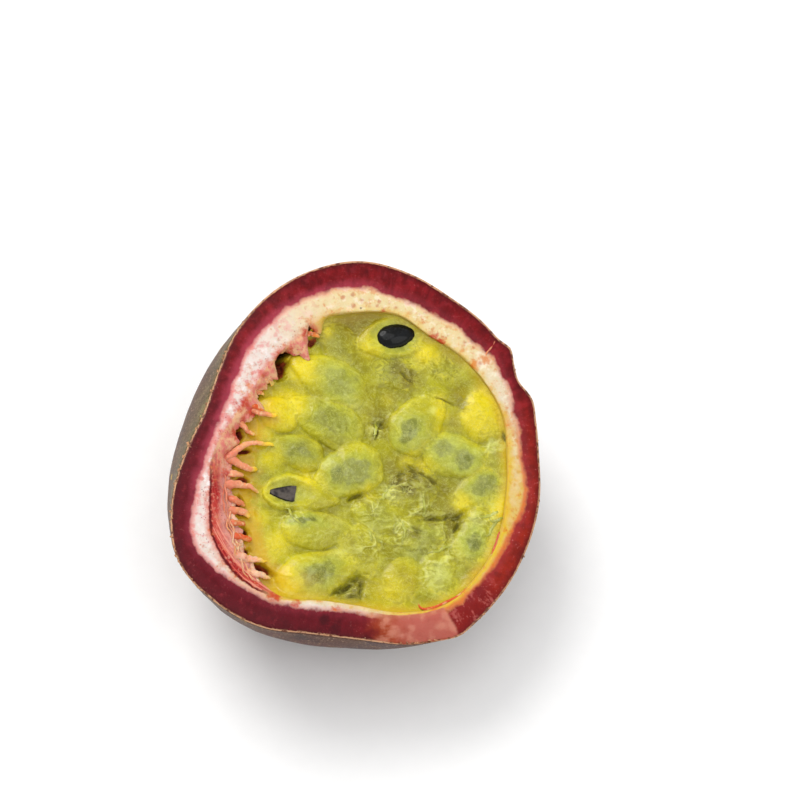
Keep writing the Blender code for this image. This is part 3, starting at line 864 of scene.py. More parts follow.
# x, y, level of the middle, heading of the blunt end and pitch in degrees, length and width,
# then the seed: how far forward and aside it lies, its half length and half width; then how
# clearly it shows, how grey it is, and how milky and how yellow the sac is, from 0 to 1.
SACS = (
    (4.9, 17.4, -1.9, 12, 0, 9.8, 6.4, 0.9, 0.1, 3, 1.85, 0.7, 0.5, 0.6, 0.45),
    (-4, 11.2, -2.1, -28, -4, 12.6, 6.5, 1.5, 0.1, 2.4, 1.65, 0.42, 0.7, 0.75, 0.15),
    (-4.6, 5.5, -2.2, -26, -4, 12.4, 6.5, 1.1, 0.1, 2.3, 1.6, 0.38, 0.4, 0.6, 0.15),
    (9.1, 4.9, -1.9, 228, 3, 10.6, 7, 2.5, -0.3, 2, 1.55, 0.85, 0.2, 0.65, 0.45),
    (14.6, 0.1, -2.1, 176, 0, 10.6, 6.2, -1, 0.2, 1.7, 1.4, 0.8, 0.5, 0.75, 0.2),
    (18, -4.5, -2.5, 30, 4, 8.8, 5.6, 0.7, -0.1, 2.2, 1.6, 0.65, 0.6, 0.5, 0.15),
    (17.3, -11.6, -2.3, 250, 0, 10.2, 5.6, 1.3, 0, 1.4, 1.35, 0.8, 0.3, 0.9, 0.1),
    (-1.2, -2, -2, 24, 0, 10.8, 7.4, 0.8, -0.5, 2.3, 1.8, 0.75, 1, 0.5, 0.35),
    (-7.8, -5.4, -2.2, 176, 3, 11.4, 5.2, 2.6, 0, 2.3, 1.2, 0.3, 0.9, 0.45, 0.45),
    (-5, -10.5, -2.3, 177, 0, 11.6, 5.2, 2.4, -1.1, 1.5, 0.55, 0.95, 0.1, 0.7, 0.25),
    (-5.5, -16.8, -2, 200, 0, 12.4, 7.2, 0.3, 0, 2.7, 1.65, 0.7, 0.3, 0.6, 0.5),
    (-8.6, 0.9, -3, -20, -5, 8.6, 5, 0.6, 0.2, 1.5, 1.2, 0.55, 0.1, 0.2, 0.2),
    (12.4, 13.2, -2.9, 155, 0, 8.6, 5.4, 0, 0, 2, 1.3, 0, 0, 0.45, 0.2),
    (18.4, 6.6, -2, 250, 0, 8.6, 6.2, 0, 0, 2, 1.3, 0, 0, 0, 0.85),
    (8.2, -4.8, -3, 20, 5, 8.4, 5.4, 0.8, 0, 2, 1.3, 0.1, 0.2, 0.2, 0.05),
    (5.9, 12.3, -3.1, -15, 0, 8.2, 5.2, 0, 0.2, 2.1, 1.5, 0, 0, 0.05, 0),
    (6.6, -18.4, -2.5, 80, 0, 8, 5.6, 0.5, 0, 2, 1.3, 0, 0, 0.1, 0.55),
    (12, -17.5, -2.3, 120, 0, 8, 5.6, 0.5, 0, 2, 1.3, 0.05, 0, 0.75, 0.2),
    (10.2, -11.6, -2.9, 160, 0, 8.6, 5.2, 0.8, 0, 2, 1.3, 0.2, 0.2, 0.35, 0.05),
    (0.6, -13.4, -2.7, 110, 0, 8.4, 5.6, 0.7, 0, 2, 1.3, 0, 0, 0.25, 0.35),
    (3.4, -8.4, -2.9, 165, 0, 8.4, 5.2, 0.7, 0, 2, 1.3, 0.12, 0, 0.4, 0.15),
    (-11.4, 6.6, -2.7, -15, 0, 7, 5.2, 0.6, 0, 1.8, 1.2, 0, 0, 0, 1),
    (-2.8, 16.9, -3.2, -60, 0, 8, 5.4, 0.6, 0, 2, 1.3, 0.1, 0, 0.1, 0.15),
)
SEED_MM = (3.0, 1.85, 1.2)
SEED_DEEP_MM = (1.9, 1.3, 1.0)
# One sac was opened and one cut in half; the halved seed is flat at this level.
OPENED, HALVED = 0, 8
HALF_LEVEL_MM = -1.25


class Drop:
    """A juice sac in the cut's frame, in millimetres."""

    def __init__(self, number, row):
        x, y, level, heading, pitch, length, width, forward, aside, long, wide, *looks = row
        self.name, self.number = f"{number + 1:02d}", number
        turn = Matrix.Rotation(radians(heading), 3, "Z") @ Matrix.Rotation(radians(pitch), 3, "Y")
        self.turn = np.array(turn)
        self.centre = np.array([*stretched(x, y), level])
        self.half = np.array([length, width, width * SAC_HEIGHT]) / 2
        self.seed = self.centre + self.turn @ np.array([forward, aside, 0.0])
        self.seed_half = (long, wide)
        self.shade, self.grey, self.milk, self.yellow = looks

    def inside(self, points):
        """Points in the sac's own frame, whose X runs to the blunt end."""
        return (points - self.centre) @ self.turn

    def flat(self, x, y):
        """The same for spots of the cut's plane, at the level of the sac's middle."""
        return self.inside(np.column_stack([x, y, 0 * x + self.centre[2]]))

    def top(self, x, y):
        """Height of the sac's upper side; beyond its outline it falls steeply."""
        local = self.flat(x, y)
        along = local[:, 0] / self.half[0]
        thick = np.maximum(1 + SAC_TAPER * along, 0.35)
        left = 1 - along**2 - (local[:, 1] / (self.half[1] * thick)) ** 2
        rise = np.sign(left) * np.abs(left) ** 0.62
        height = self.centre[2] + self.half[2] * thick * np.where(left > 0, rise, 2.5 * rise)
        if self.number == OPENED:
            bowl = self.seed[2] + 0.75 + 1.1 * smooth_step(self.to_seed(x, y), 0.3, 1.9)
        elif self.number == HALVED:
            bowl = HALF_LEVEL_MM - 0.2 + 0.8 * smooth_step(self.to_seed(x, y), 0.5, 1.7)
        else:
            return height
        return np.minimum(height, bowl)

    def to_seed(self, x, y):
        """How far a spot lies outside the seed's outline, seen from above."""
        local = self.flat(x, y) - (self.seed - self.centre) @ self.turn
        size = np.hypot(local[:, 0] / self.seed_half[0], local[:, 1] / self.seed_half[1])
        return (size - 1) * sum(self.seed_half) / 2


def bent(x, y):
    """Shifts spots a little, so that no outline is a perfect curve."""
    spots = spots_at(x, y)
    return x + 0.34 * wander(spots, 2.4, 25), y + 0.34 * wander(spots, 2.4, 26)


drops = [Drop(number, row) for number, row in enumerate(SACS)]
print(len(drops), "sacs; the first lies at", drops[0].centre.round(1), "mm")

# %% [markdown]
# ## The pulp's surface
# Between the sacs stands thick juice with torn skins in it. Its surface is a height above each
# spot of the cut's plane. It is the soft maximum of a wavy base and of all the sacs, so a thin
# film of juice lies over each sac and climbs down between them, as a liquid does. Some spots are
# hollow: there the knife pulled a sac out, and dark crevices with wrinkled skins are left.

# %% Crevices, pockets and swellings
# x, y, half length, half width, heading in degrees, depth: crevices between the sacs.
HOLLOWS = (
    (9.8, -2.9, 2.9, 0.35, -36, 0.7), (6.4, -3, 2.4, 0.3, 38, 0.35),
    (7, -4.4, 1.1, 0.6, -20, 0.8), (8.4, -2.6, 1, 1.1, 0, 0.6), (11.9, -8.9, 2.7, 0.32, 9, 1),
    (15, -8.5, 1.1, 0.45, 18, 0.9), (14.5, -10.2, 1.4, 0.3, 58, 0.7),
    (8.4, -10.9, 1.3, 0.36, -12, 0.8), (3.4, 4.9, 1.2, 0.5, 6, 0.9),
    (2.9, 3.5, 1, 0.22, 74, 0.6), (0.2, -5.7, 1, 0.3, 16, 0.7),
    (-1.4, -18.5, 2.6, 0.45, 30, 1.3), (0.7, -19, 1.5, 0.35, 84, 1.2),
    (-0.9, -20, 1.4, 0.5, 4, 0.7), (12.7, 8.4, 1.7, 0.28, -20, 0.3),
    (7.2, 11.6, 1.5, 0.3, -38, 0.3), (21.4, 2.9, 0.3, 1.6, 8, 0.5),
)
# The same for the pockets between the pegs, which take painted shade.
POCKETS = (
    (-16.2, 0.9, 0.9, 0.45, 0, 1.3), (-16.9, -6.3, 0.9, 0.9, 0, 1.2),
    (-16.4, -10.6, 1.2, 0.7, 0, 1.5), (-16.2, -13.4, 0.8, 0.5, -10, 1.2),
    (-14, -16, 2.3, 0.65, -22, 1.8), (-10.9, 13, 0.9, 1.5, -10, 2.2),
    (-6.6, 16.9, 0.7, 0.5, 0, 0.8), (-16.7, 3, 0.4, 0.8, 0, 1), (-16.4, -3.2, 0.8, 0.6, 0, 1),
    (-14.3, 8.9, 0.6, 0.4, 0, 0.6), (-16.6, -8, 0.7, 0.5, 0, 0.8),
)
# x, y, radius, height: broad swellings of the base where deeper sacs push up.
SWELLINGS = (
    (11, 10, 4, 1.3), (1.5, 13.5, 2.6, 0.8), (3, 1, 2.6, 0.9), (12.5, -14.6, 2.6, 0.9),
    (4.5, -14.6, 2.6, 0.9), (-11.3, -11.6, 2.2, 0.9), (-12.2, -2, 2.2, 0.8),
    (20.6, -8.6, 2.2, 1.1), (9.3, 16, 2.2, 0.8), (10.2, 14.6, 1.5, 1.3), (0.5, 8.6, 2.4, 1),
    (20.5, -0.6, 2, 0.8), (-11.6, -15.4, 2.2, 0.6), (9.2, -20.2, 2.2, 0.8), (16, -15.4, 2, 0.7),
    (-13.3, 2.8, 1.8, 0.6), (14.5, 4.6, 1.6, 0.6), (5.6, -5.2, 1.5, 0.6), (9.6, -6.6, 1.8, 0.5),
    (2, 18.6, 2.4, 0.3),
)
# x, y, radius: patches where thin skins lie crumpled.
CRUMPLED = (
    (5.4, -4.9, 2.6), (9, -7, 2.6), (2, -7.4, 2.2), (6, -10.5, 3), (13, -11, 2.2),
    (2, -12.5, 2.8), (10.5, -17.6, 2.2), (-0.6, -19.4, 1.6), (3, 4, 1.4), (12.5, -14.5, 2.6),
    (18.5, -9.6, 2.4), (19.3, 1.4, 1.8), (-9.6, -8.2, 1.8),
)
print("crevices:", len(HOLLOWS), "pockets:", len(POCKETS), "swellings:", len(SWELLINGS))

# %% Height of the pulp
FILM_OVER_SAC_MM, EDGE_LEVEL_MM, BASE_LEVEL_MM = 0.07, -1.65, -2.7
# Heights of the narrow folds and of the waves and grain on the whole surface.
CREASE_MM, FOLD_MM, WAVE_MM, GRAIN_MM = 0.30, 0.12, 0.11, 0.035
# How far from the wall the surface is drawn to the wall's edge.
EDGE_PULL_MM = 0.55
# How far the surface dips where the halved seed lies bare.
HALF_DIP_MM = 0.35
# Thick juice levels the sacs: heights shrink towards a middle level.
LEVEL_MM, RELIEF = -1.1, 0.48


def wall_distance(x, y):
    """How far a spot lies from the cavity's edge, and its angle."""
    flat_x, flat_y = squeezed(x, y)
    angle = np.arctan2(flat_y, flat_x) % (2 * pi)
    return ring(WALL_MM, angle) - np.hypot(flat_x, flat_y), angle


def from_ellipse(x, y, row):
    """Distance from an ellipse's middle, where its outline is at 1."""
    middle_x, middle_y, long, wide, heading = row[:5]
    dx, dy, a = x - middle_x, y - middle_y, radians(heading)
    return np.hypot((dx * cos(a) + dy * sin(a)) / long, (dy * cos(a) - dx * sin(a)) / wide)


def hollow_share(x, y, hollows):
    """1 in a hollow of a table and 0 outside it, and the depth it adds."""
    flat_x, flat_y = squeezed(x, y)
    spots = spots_at(x, y)
    ragged = 0.35 * wander(spots, 1.2, 41) + 0.25 * wander(spots, 0.45, 42)
    flat_x, flat_y = flat_x + 0.45 * wander(spots, 1.7, 44), flat_y + 0.45 * wander(spots, 1.7, 45)
    share, depth = np.zeros_like(x), np.zeros_like(x)
    for row in hollows:
        here = 1 - smooth_step(from_ellipse(flat_x, flat_y, row) + ragged, 0.15, 1.6)
        share, depth = np.maximum(share, here), np.maximum(depth, 0.8 * row[5] * here)
    return share, depth


def crumple(x, y):
    """Ridges of crumpled skin, 0 to 1, and how crumpled the spot is."""
    zone = spots_share(x, y, [(*spot, 1.0) for spot in CRUMPLED])
    spots = spots_at(x, y)
    spots = spots + 0.9 * spots_at(wander(spots, 2.2, 51), wander(spots, 2.2, 52))
    ridge = np.clip(1 - 2.2 * np.abs(wander(spots, 1.5, 53)), 0, 1)
    return ridge**1.5, zone


def peg_side(angle):
    """1 on the side where the pegs stand, 0 elsewhere."""
    return between(angle, 108, 116, 234, 243)


def base_height(x, y):
    """The juice between the sacs: low where the pegs are, up to the rim on the other side."""
    distance, angle = wall_distance(x, y)
    height = BASE_LEVEL_MM + 0.4 * np.clip(x / 20, -1, 1)
    height = height + 0.35 * wander(spots_at(x, y), 3.4, 23)
    for *place, size, rise in SWELLINGS:
        height = height + rise * blob(x, y, *stretched(*place), size)
    climb = 2.4 * np.exp(-distance / 2.0) * (1 - peg_side(angle))
    return height + climb * (1 - 0.75 * near(angle, 88, 26))


def film(x, y):
    """Height of the pulp's surface, and how much of it each sac has (base first)."""
    base = base_height(x, y)
    spots = spots_at(x, y)
    blend = 0.75 + 0.35 * wander(spots, 5.0, 24, 1)
    x2, y2 = bent(x, y)
    heights = np.stack([base] + [drop.top(x2, y2) for drop in drops])
    most = heights.max(axis=0)
    shares = np.exp((heights - most) / blend)
    total = shares.sum(axis=0)
    shares = shares / total
    soft = most + 0.6 * blend * np.log(total) + FILM_OVER_SAC_MM
    soft = LEVEL_MM + RELIEF * (soft - LEVEL_MM)
    ridge, zone = crumple(x, y)
    _, depth = hollow_share(x, y, HOLLOWS)
    soft = soft + CREASE_MM * zone * (ridge - 0.3) - depth
    folds = np.clip(1 - 2.5 * np.abs(wander(spots_at(x2, y2), 2.6, 27)), 0, 1)
    soft = soft + FOLD_MM * folds**2 + WAVE_MM * wander(spots, 1.7, 21)
    soft = soft + GRAIN_MM * wander(spots, 0.6, 22)
    # On the pegs' side the juice stays below the lining's torn edge.
    distance, angle = wall_distance(x, y)
    over = np.logaddexp(0, (soft - (EDGE_LEVEL_MM + 0.5 * np.maximum(distance, 0))) / 0.2) * 0.2
    soft = soft - over * peg_side(angle)
    # Elsewhere it meets the wall's edge and dips just under it.
    pull = np.exp(-np.maximum(distance, 0) / EDGE_PULL_MM) * (1 - peg_side(angle))
    soft = soft * (1 - pull) + (-0.45 - 0.5 * near(angle, 90, 20)) * pull
    _, depth = hollow_share(x, y, POCKETS)
    cut = 1 - smooth_step(drops[HALVED].to_seed(x2, y2), 0.0, 0.8)
    return soft - depth - HALF_DIP_MM * cut, shares


print("the pulp's middle lies at", film(np.zeros(1), np.zeros(1))[0].round(2), "mm")

# %% [markdown]
# ## What the gel's colour needs
# The same function gives the juice and the sacs their numbers, so that they match where they
# meet: the distance to the nearest seed, how yellow or milky the spot is, and whether it lies in
# a seam or a crevice.

# %% Readings for the gel
# x, y, half length, half width, heading, strength, greyness: seeds that show faintly.
GHOSTS = (
    (12.6, 1.3, 1.6, 1.3, 10, 0.75, 0.9), (-2.8, -2.3, 1.1, 1.4, 10, 0.75, 0.2),
    (8.8, -14.1, 1.2, 0.8, 10, 0.45, 0.2), (-1.2, 10.8, 0.9, 0.8, 0, 0.4, 1),
    (4.7, 12.8, 0.9, 0.7, 0, 0.4, 0.9), (18.6, -4.6, 1.6, 1.3, 10, 0.5, 0.9),
    (-6.1, -16.6, 0.9, 0.8, 0, 0.5, 0), (-1.8, -2.9, 0.6, 0.4, 0, 0.5, 0),
    (7.8, 2.9, 1, 0.8, 40, 0.5, 0),
)
# x, y, radius, strength: painted shade, a dull olive, round the crevices and in the hollows between sacs.
PAINTED_SHADE_SPOTS = (
    (8.4, -2.4, 1.5, 0.9), (6.2, -3.9, 1.6, 0.9), (7.6, -4.8, 1.1, 0.9), (10.8, -3.9, 1.4, 0.8),
    (12.8, -5, 1.2, 0.5), (11, -9.2, 1.2, 0.7), (14.2, -9.4, 1.6, 0.9), (13.4, -11, 1, 0.6),
    (8.4, -11, 1.2, 0.7), (3.3, 5, 1.3, 0.9), (2.7, 3.2, 0.7, 0.7), (-0.4, -19.2, 1.7, 0.9),
    (-2.6, -19.8, 0.9, 0.8), (0.7, -18, 0.8, 0.8), (7.4, 12.2, 1.3, 0.6), (5.6, 12.8, 1.4, 0.7),
    (15.3, 8, 1.3, 0.6), (13.4, 8, 1.1, 0.4), (0.6, -5.9, 1, 0.6), (21.4, 2.9, 0.7, 0.7),
)
# x, y, radius, share: bright yellow patches, mostly where a sac narrows to its stalk.
YELLOW = (
    (-7.9, 12.8, 2.3, 1.1), (-9.7, 7.9, 2.3, 1.2), (9.9, 14.8, 1.5, 1.2), (11.4, 14.4, 1, 0.9),
    (18.2, 6.5, 2.6, 1.2), (18, 9, 1.4, 0.8), (12.3, 6.2, 1, 1.1), (12.2, 8, 1.1, 0.7),
    (12.3, 3.6, 1.1, 0.6), (2.2, 16.1, 1.5, 1), (-4.4, 18.2, 1, 0.8), (-9.5, -17.6, 2, 1.1),
    (-7.2, -3, 1.5, 0.8), (-12.9, -5, 1.3, 0.7), (15.6, -6.8, 1.4, 1), (21.3, -7.8, 2.3, 1),
    (9.6, -1.2, 1.3, 0.6), (-11.5, -12.4, 2.4, 0.8), (1.5, -5.4, 1.5, 0.5), (4, -20, 2.5, 0.5),
    (-12.8, 0, 1.8, 0.6), (7.4, -0.4, 1.2, 0.5), (-13.6, -8.8, 1.6, 0.6), (-13, 3.4, 1.5, 0.4),
    (4.6, 8.6, 1, 0.3),
)
# The same for dull olive patches: partly clear, deep gel, and partly painted shade, as under the cavity's
# top edge and in dark hollows.
OLIVE = (
    (0, 19.6, 3.6, 1.1), (5.7, 12.8, 1.3, 1.2), (7.4, 11.4, 1.4, 0.9), (2.9, -19.2, 2.4, 0.6),
    (15.3, 9.2, 1.6, 0.8), (1.6, 9.8, 2, 0.3), (3, 6.6, 2.2, 0.4), (-7.8, 1.7, 1.4, 0.9),
    (8.3, -3.6, 2.8, 0.6), (12.8, -5.6, 2, 0.3), (9.4, -14.2, 2, 0.3), (-5, 19.2, 2, 0.7),
    (7.4, -18.3, 1.5, 0.6), (12.8, 15.8, 1.6, 0.7), (-4, 1.6, 1.8, 0.3), (-3.8, -8.6, 2.2, 0.4),
    (-5, -13.2, 2.6, 0.3), (14.4, 5.4, 1.2, 0.7), (-6, 9.2, 1.6, 0.4), (3.4, 4.9, 2, 0.5),
    (21.6, 2.6, 1, 0.7), (-15.4, -1.6, 1.4, 0.5), (5, -1, 2, 0.3),
)
# The same for pale patches: partly milky gel, partly painted highlights on the sacs' tops and edges.
PALE = (
    (-6.4, 8.5, 1, 0.8), (-3.6, 12.6, 2, 0.6), (-1.2, 8, 1.6, 0.5), (0.2, 7.3, 1.4, 0.6),
    (11, 6.6, 0.8, 1), (14, 1.4, 2.4, 0.7), (5.6, -4.9, 1.6, 0.9), (-2.8, -13.7, 1.7, 0.8),
    (17.4, -9.6, 1.6, 0.8), (11.7, -17, 1.9, 1), (-0.8, -19.7, 1.4, 0.9), (2.4, -11, 1.8, 0.7),
    (-9.5, -9.4, 1.2, 0.8), (-3, -9.2, 2, 0.6), (9.2, -12.6, 1.6, 0.6), (11.8, -10.9, 1.4, 0.6),
    (19.6, 1.6, 1.6, 0.5), (-11.2, -3.4, 1, 0.6), (3.2, -7.6, 1.6, 0.5), (8.4, 3.8, 1.4, 0.4),
    (19, -13.4, 1.4, 0.5),
)


def gel_readings(points, shares):
    """Numbers for the gel's material at points of the cut's frame."""
    x, y, z = points.T
    x2, y2 = bent(x, y)
    flat_x, flat_y = squeezed(x2, y2)
    to_seed, shade, grey = np.full(len(x), 9.0), np.zeros(len(x)), np.zeros(len(x))
    yellow, milk = 0.15 * shares[0], 0.12 * shares[0]
    rim, strand = np.zeros(len(x)), shares[0] * 0.6 * wander(points, 1.2, 61)
    for drop, share in zip(drops, shares[1:]):
        local = drop.inside(points)
        along = local[:, 0] / drop.half[0]
        across = local[:, 1] / (drop.half[1] * np.maximum(1 + SAC_TAPER * along, 0.3))
        yellow += share * drop.yellow
        milk += share * drop.milk
        rim += share * smooth_step(np.hypot(along, across), 0.5, 0.95)
        grain = np.column_stack([local[:, 0] / 5, local[:, 1] / 0.9, 0 * x + 3.7 * drop.number])
        strand += share * wander(grain, 1.0, 62)
        distance = drop.to_seed(x2, y2) + 3 * (1 - share) ** 2
        closer = (distance < to_seed) & (drop.shade > 0)
        to_seed = np.where(closer, distance, to_seed)
        shade = np.where(closer, drop.shade, shade)
        grey = np.where(closer, drop.grey, grey)
    for ghost in GHOSTS:
        long, wide, _, strength, tone = ghost[2:]
        distance = (from_ellipse(flat_x, flat_y, ghost) - 1) * (long + wide) / 2
        closer = distance < to_seed
        to_seed = np.where(closer, distance, to_seed)
        shade, grey = np.where(closer, strength, shade), np.where(closer, tone, grey)
    ordered = np.sort(shares, axis=0)
    distance, angle = wall_distance(x, y)
    ridge, zone = crumple(x, y)
    return {
        "to_seed": to_seed,
        "seed_shade": shade,
        "seed_grey": grey,
        "yellow": np.clip(yellow * 0.7 + spots_share(x, y, YELLOW), 0, 1),
        "olive": np.minimum(spots_share(x, y, OLIVE), 1),
        "milk": np.clip(milk, 0, 1),
        "pale": np.minimum(spots_share(x, y, PALE), 1),
        "sac_rim": np.clip(rim, 0, 1),
        "strand": strand,
        "seam": 1 - smooth_step(ordered[-1] - ordered[-2], 0.0, 0.8),
        "crumple": ridge * zone,
        "crumple_zone": zone * (z > -4.5),
        "crevice": hollow_share(x, y, HOLLOWS)[0],
        "painted_shade": spots_share(x2, y2, PAINTED_SHADE_SPOTS),
        "trench": hollow_share(x, y, POCKETS)[0],
        "from_wall": distance,
        "turn": np.column_stack([np.cos(angle), np.sin(angle), 0 * angle]),
    }


print("yellow patches:", len(YELLOW), "pale:", len(PALE), "olive:", len(OLIVE))

# %% The pulp bed
PULP_AROUND, PULP_ROWS, PULP_SIDE_ROWS = 440, 204, 14
BED_GAP_MM = -0.12
pulp_angles = turns_of(PULP_AROUND)
pulp_edge = ring(WALL_MM, pulp_angles) - BED_GAP_MM
rows = []
for step in range(PULP_SIDE_ROWS):
    psi = radians(88) * (1 - step / PULP_SIDE_ROWS)
    fall = 0.26 + 0.74 * sin(psi)
    like_rim = (1 - fall) ** 2
    radius = pulp_edge * like_rim + (CAVITY_BACK_MM - BED_GAP_MM) * (1 - like_rim) - 0.2
    radius = radius * max(0.0, 1 - fall**CAVITY_POWER) ** 0.5
    rows.append(polar(radius, pulp_angles, (BED_GAP_MM - CAVITY_DEPTH_MM) * fall))
for share in np.linspace(1, 0.004, PULP_ROWS) ** 0.8:
    spot = polar(pulp_edge * share, pulp_angles, 0.0)
    spot[:, 2], _ = film(*spot.T[:2])
    rows.append(spot)
bottom = [0, 0, 0.3 - CAVITY_DEPTH_MM]
pulp_points = np.concatenate([*rows, [bottom, rows[-1].mean(axis=0)]])
_, shares = film(*pulp_points.T[:2])
readings = gel_readings(pulp_points, shares)
faces = pot_faces(len(rows), PULP_AROUND)
pulp = mesh_object("pulp_bed_juice", in_world(pulp_points), faces, readings)
print("pulp:", len(pulp.data.polygons), "faces")

# %% The sacs
SAC_AROUND, SAC_ROWS = 36, 28
SKIN_OVER_SAC_MM = 0.05
sac_shape = rounded(SAC_AROUND, SAC_ROWS, lambda along, bulge: (1 + SAC_TAPER * along) * bulge)
sac_points, sac_sets = [], []
for drop in drops:
    points = (sac_shape * drop.half) @ drop.turn.T + drop.centre
    # The juice's skin lies on the sac, so the sac's top never stands above it.
    height, _ = film(*points.T[:2])
    points[:, 2] = np.minimum(points[:, 2], height - SKIN_OVER_SAC_MM)
    share = np.zeros((len(drops) + 1, len(points)))
    share[1 + drop.number] = 1.0
    sac_points.append(points)
    sac_sets.append(gel_readings(points, share))
readings = {key: np.concatenate([one[key] for one in sac_sets]) for key in sac_sets[0]}
faces = pots_faces(len(drops), SAC_ROWS, SAC_AROUND)
sacs = mesh_object("juice_sacs", in_world(np.concatenate(sac_points)), faces, readings)
print("sacs:", len(sacs.data.polygons), "faces")

# %% [markdown]
# ## Gel
# Juice sacs are wet, clear gel. Light enters, wanders and comes out a few millimetres away, so
# the shader scatters below the surface, and a thin coat gives the wet shine. A seed shows as a
# blurred dark core in a milky halo; towards the sac's edge the gel turns yellow-green.

# %% Gel material
gel = Surface("juice_gel")
to_seed, shade, grey = gel.readings("to_seed seed_shade seed_grey")
yellow, olive, milk = gel.readings("yellow olive milk")
sac_rim, strand, creased = gel.readings("sac_rim strand crumple")
crevice, trench, from_wall = gel.readings("crevice trench from_wall")
turn_vector = gel.reading("turn", "Vector")
cloudy = gel.noise(3.0, 3.0)
wisps = gel.noise(1.0, 3.0, 0.6, distortion=1.4)
soft = gel.noise(1.5, 1.0)

body = gel.paint(cloudy.rise(0.34, 0.68), (118, 113, 1), (160, 157, 4))
body.lay(milk * (0.45 + wisps * 0.6), (174, 178, 48))
body.lay(sac_rim * wisps.rise(0.3, 0.7) * 0.6, (208, 202, 48))
body.lay(strand.rise(0.15, 0.95) * 0.4, (206, 210, 84))
body.lay((-strand).rise(0.30, 1.1) * 0.4, (132, 124, 8))
# Pale patches: milky gel, and painted highlights on the sacs.
pale = gel.reading("pale") * (0.4 + wisps * 0.9)
body.lay(pale.rise(0.1, 1.0) * 0.75, (208, 214, 128))
# Olive patches: the clear gel's own colour, and painted shade in hollows and under the top edge.
body.lay(olive * (0.7 + cloudy * 0.4), (116, 100, 8))
body.lay(yellow * (0.65 + cloudy * 0.4), (224, 204, 2))
warped = to_seed + (soft - 0.5) * 1.8 + (cloudy - 0.5) * 1.4
halo = warped.fall(0.3, 1.9) * shade
body.lay(halo * 0.6, (160, 172, 74))
seed_tone = gel.mix(grey, (78, 84, 16), (134, 138, 82))
mottle = gel.noise(1.1, 1.0).rise(0.30, 0.70)
core = warped.fall(-0.45, 0.4) * shade
body.lay(core * 0.85, gel.mix(mottle * 0.5, seed_tone, (120, 126, 58)))
deep_core = (warped + mottle * 0.5).fall(-1.2, -0.4) * shade * (1 - grey * 0.85)
body.lay(deep_core * 0.7, (56, 64, 22))
# Painted highlight: a milky grey glaze over one part of each seed's core.
body.lay(core * soft.rise(0.50, 0.66) * 0.45, (166, 172, 122))
seam = gel.reading("seam")
# Painted shade: darker olive in the seams between sacs; the bright yellow in them is the gel's own.
body.lay(seam * wisps.rise(0.42, 0.6) * 0.30, (124, 112, 6))
body.lay(seam * wisps.rise(0.52, 0.36) * 0.5, (224, 214, 70))
veins = gel.noise(1.7, 3.0, 0.6, distortion=0.8)
thread = abs(wisps - 0.5).fall(0.0, 0.035)
body.lay(thread * 0.28, (222, 224, 120))
body.lay(abs(veins - 0.5).fall(0.0, 0.03) * 0.25, (130, 120, 8))
body.lay(veins.rise(0.56, 0.72) * milk * 0.5, (208, 212, 118))
body.lay(creased.rise(0.35, 0.9) * 0.55, (216, 218, 134))
print("nodes of the clear gel:", len(gel.tree.nodes))

# %% Stains, folds and pockets in the gel
right = gel.along(turn_vector, (0.78, -0.62, 0)).rise(0.1, 0.9)
left = gel.along(turn_vector, (-0.96, -0.28, 0)).rise(0.45, 0.9)
edge_stain = (from_wall + cloudy * 1.6).fall(0.3, 2.6) * (0.45 + 0.55 * right)
body.lay(edge_stain * 0.8, (210, 168, 22))
left_stain = (from_wall + (cloudy - 0.5) * 4.0 + (wisps - 0.5) * 2).fall(2.0, 4.8) * left
body.lay(left_stain * 0.7, (212, 162, 10))
# Painted shade: dull olive round the crevices, with pale folds inside it.
painted_shade = gel.reading("painted_shade")
body.lay((painted_shade + (wisps - 0.5) * 1.0).rise(0.05, 0.85) * 0.8, (104, 94, 22))
folds = gel.noise(1.0, 2.0, 0.5, distortion=2.2)
body.lay(painted_shade * folds.rise(0.52, 0.62) * 0.7, (186, 182, 104))
# Painted shade: dark olive in the crevices between the sacs.
body.lay(crevice.rise(0.40, 1.0) * (0.25 + wisps * 0.7), (78, 70, 18))
flow = gel.noise(1.5, 3.0, 0.55, vector=gel.scaled(gel.place(), (0.50, 1.15, 1.15)), distortion=1.6)
flowing = gel.reading("crumple_zone") * 0.45 + 0.10
# Light and dark streaks of flowing juice, stronger where skins are crumpled; the light streaks are painted
# highlights.
body.lay(flow.rise(0.52, 0.64) * flowing, (210, 212, 112))
body.lay(flow.fall(0.36, 0.48) * flowing, (138, 132, 24))
shreds = gel.noise(0.6, 3.0)
pocket = (trench + (shreds - 0.5) * 0.7).rise(0.20, 0.70)
# Painted shade: dark red-brown in the pockets between the pegs.
body.lay(pocket, gel.mix(shreds.rise(0.35, 0.65), (84, 22, 8), (150, 62, 26)))
gel.finish(
    base_color=body,
    roughness=0.32 + wisps * 0.16 + crevice * 0.2 + pocket * 0.4,
    specular=0.2,
    subsurface_weight=0.40,
    subsurface_radius=(1.0, 0.9, 0.2),
    subsurface_scale=1.2 * MM,
    coat_weight=(1 - crevice) * (1 - pocket) * 0.28,
    coat_roughness=0.1,
    normal=gel.bump(wisps * 0.4 + veins * 0.6 + soft * 0.2, 0.22, 0.5),
)
for piece in (pulp, sacs):
    piece.data.materials.append(gel.material)
    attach(piece, "root")
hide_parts("pulp_bed")
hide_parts(*[f"juice_sac_{drop.name}" for drop in drops])

# %% [markdown]
# ## Seeds
# Passion fruit seeds are flat, pointed ovals with a hard black hull that is pitted all over.
# One hull is shaped once and put at every seed's place. The knife went through one of them, so
# that one is flat on top and shows its grey inside.

# %% The seeds
SEED_AROUND, SEED_ROWS = 40, 30
# How far seeds stand up in the opened and the halved sac, and how far the others sink.
OPENED_RISE_MM, HALVED_RISE_MM, SUNK_MM = 0.65, 0.55, 0.5
hull_shape = rounded(
    SEED_AROUND, SEED_ROWS, lambda along, bulge: bulge**0.9 * (1 - 0.12 * along), 1.2
)


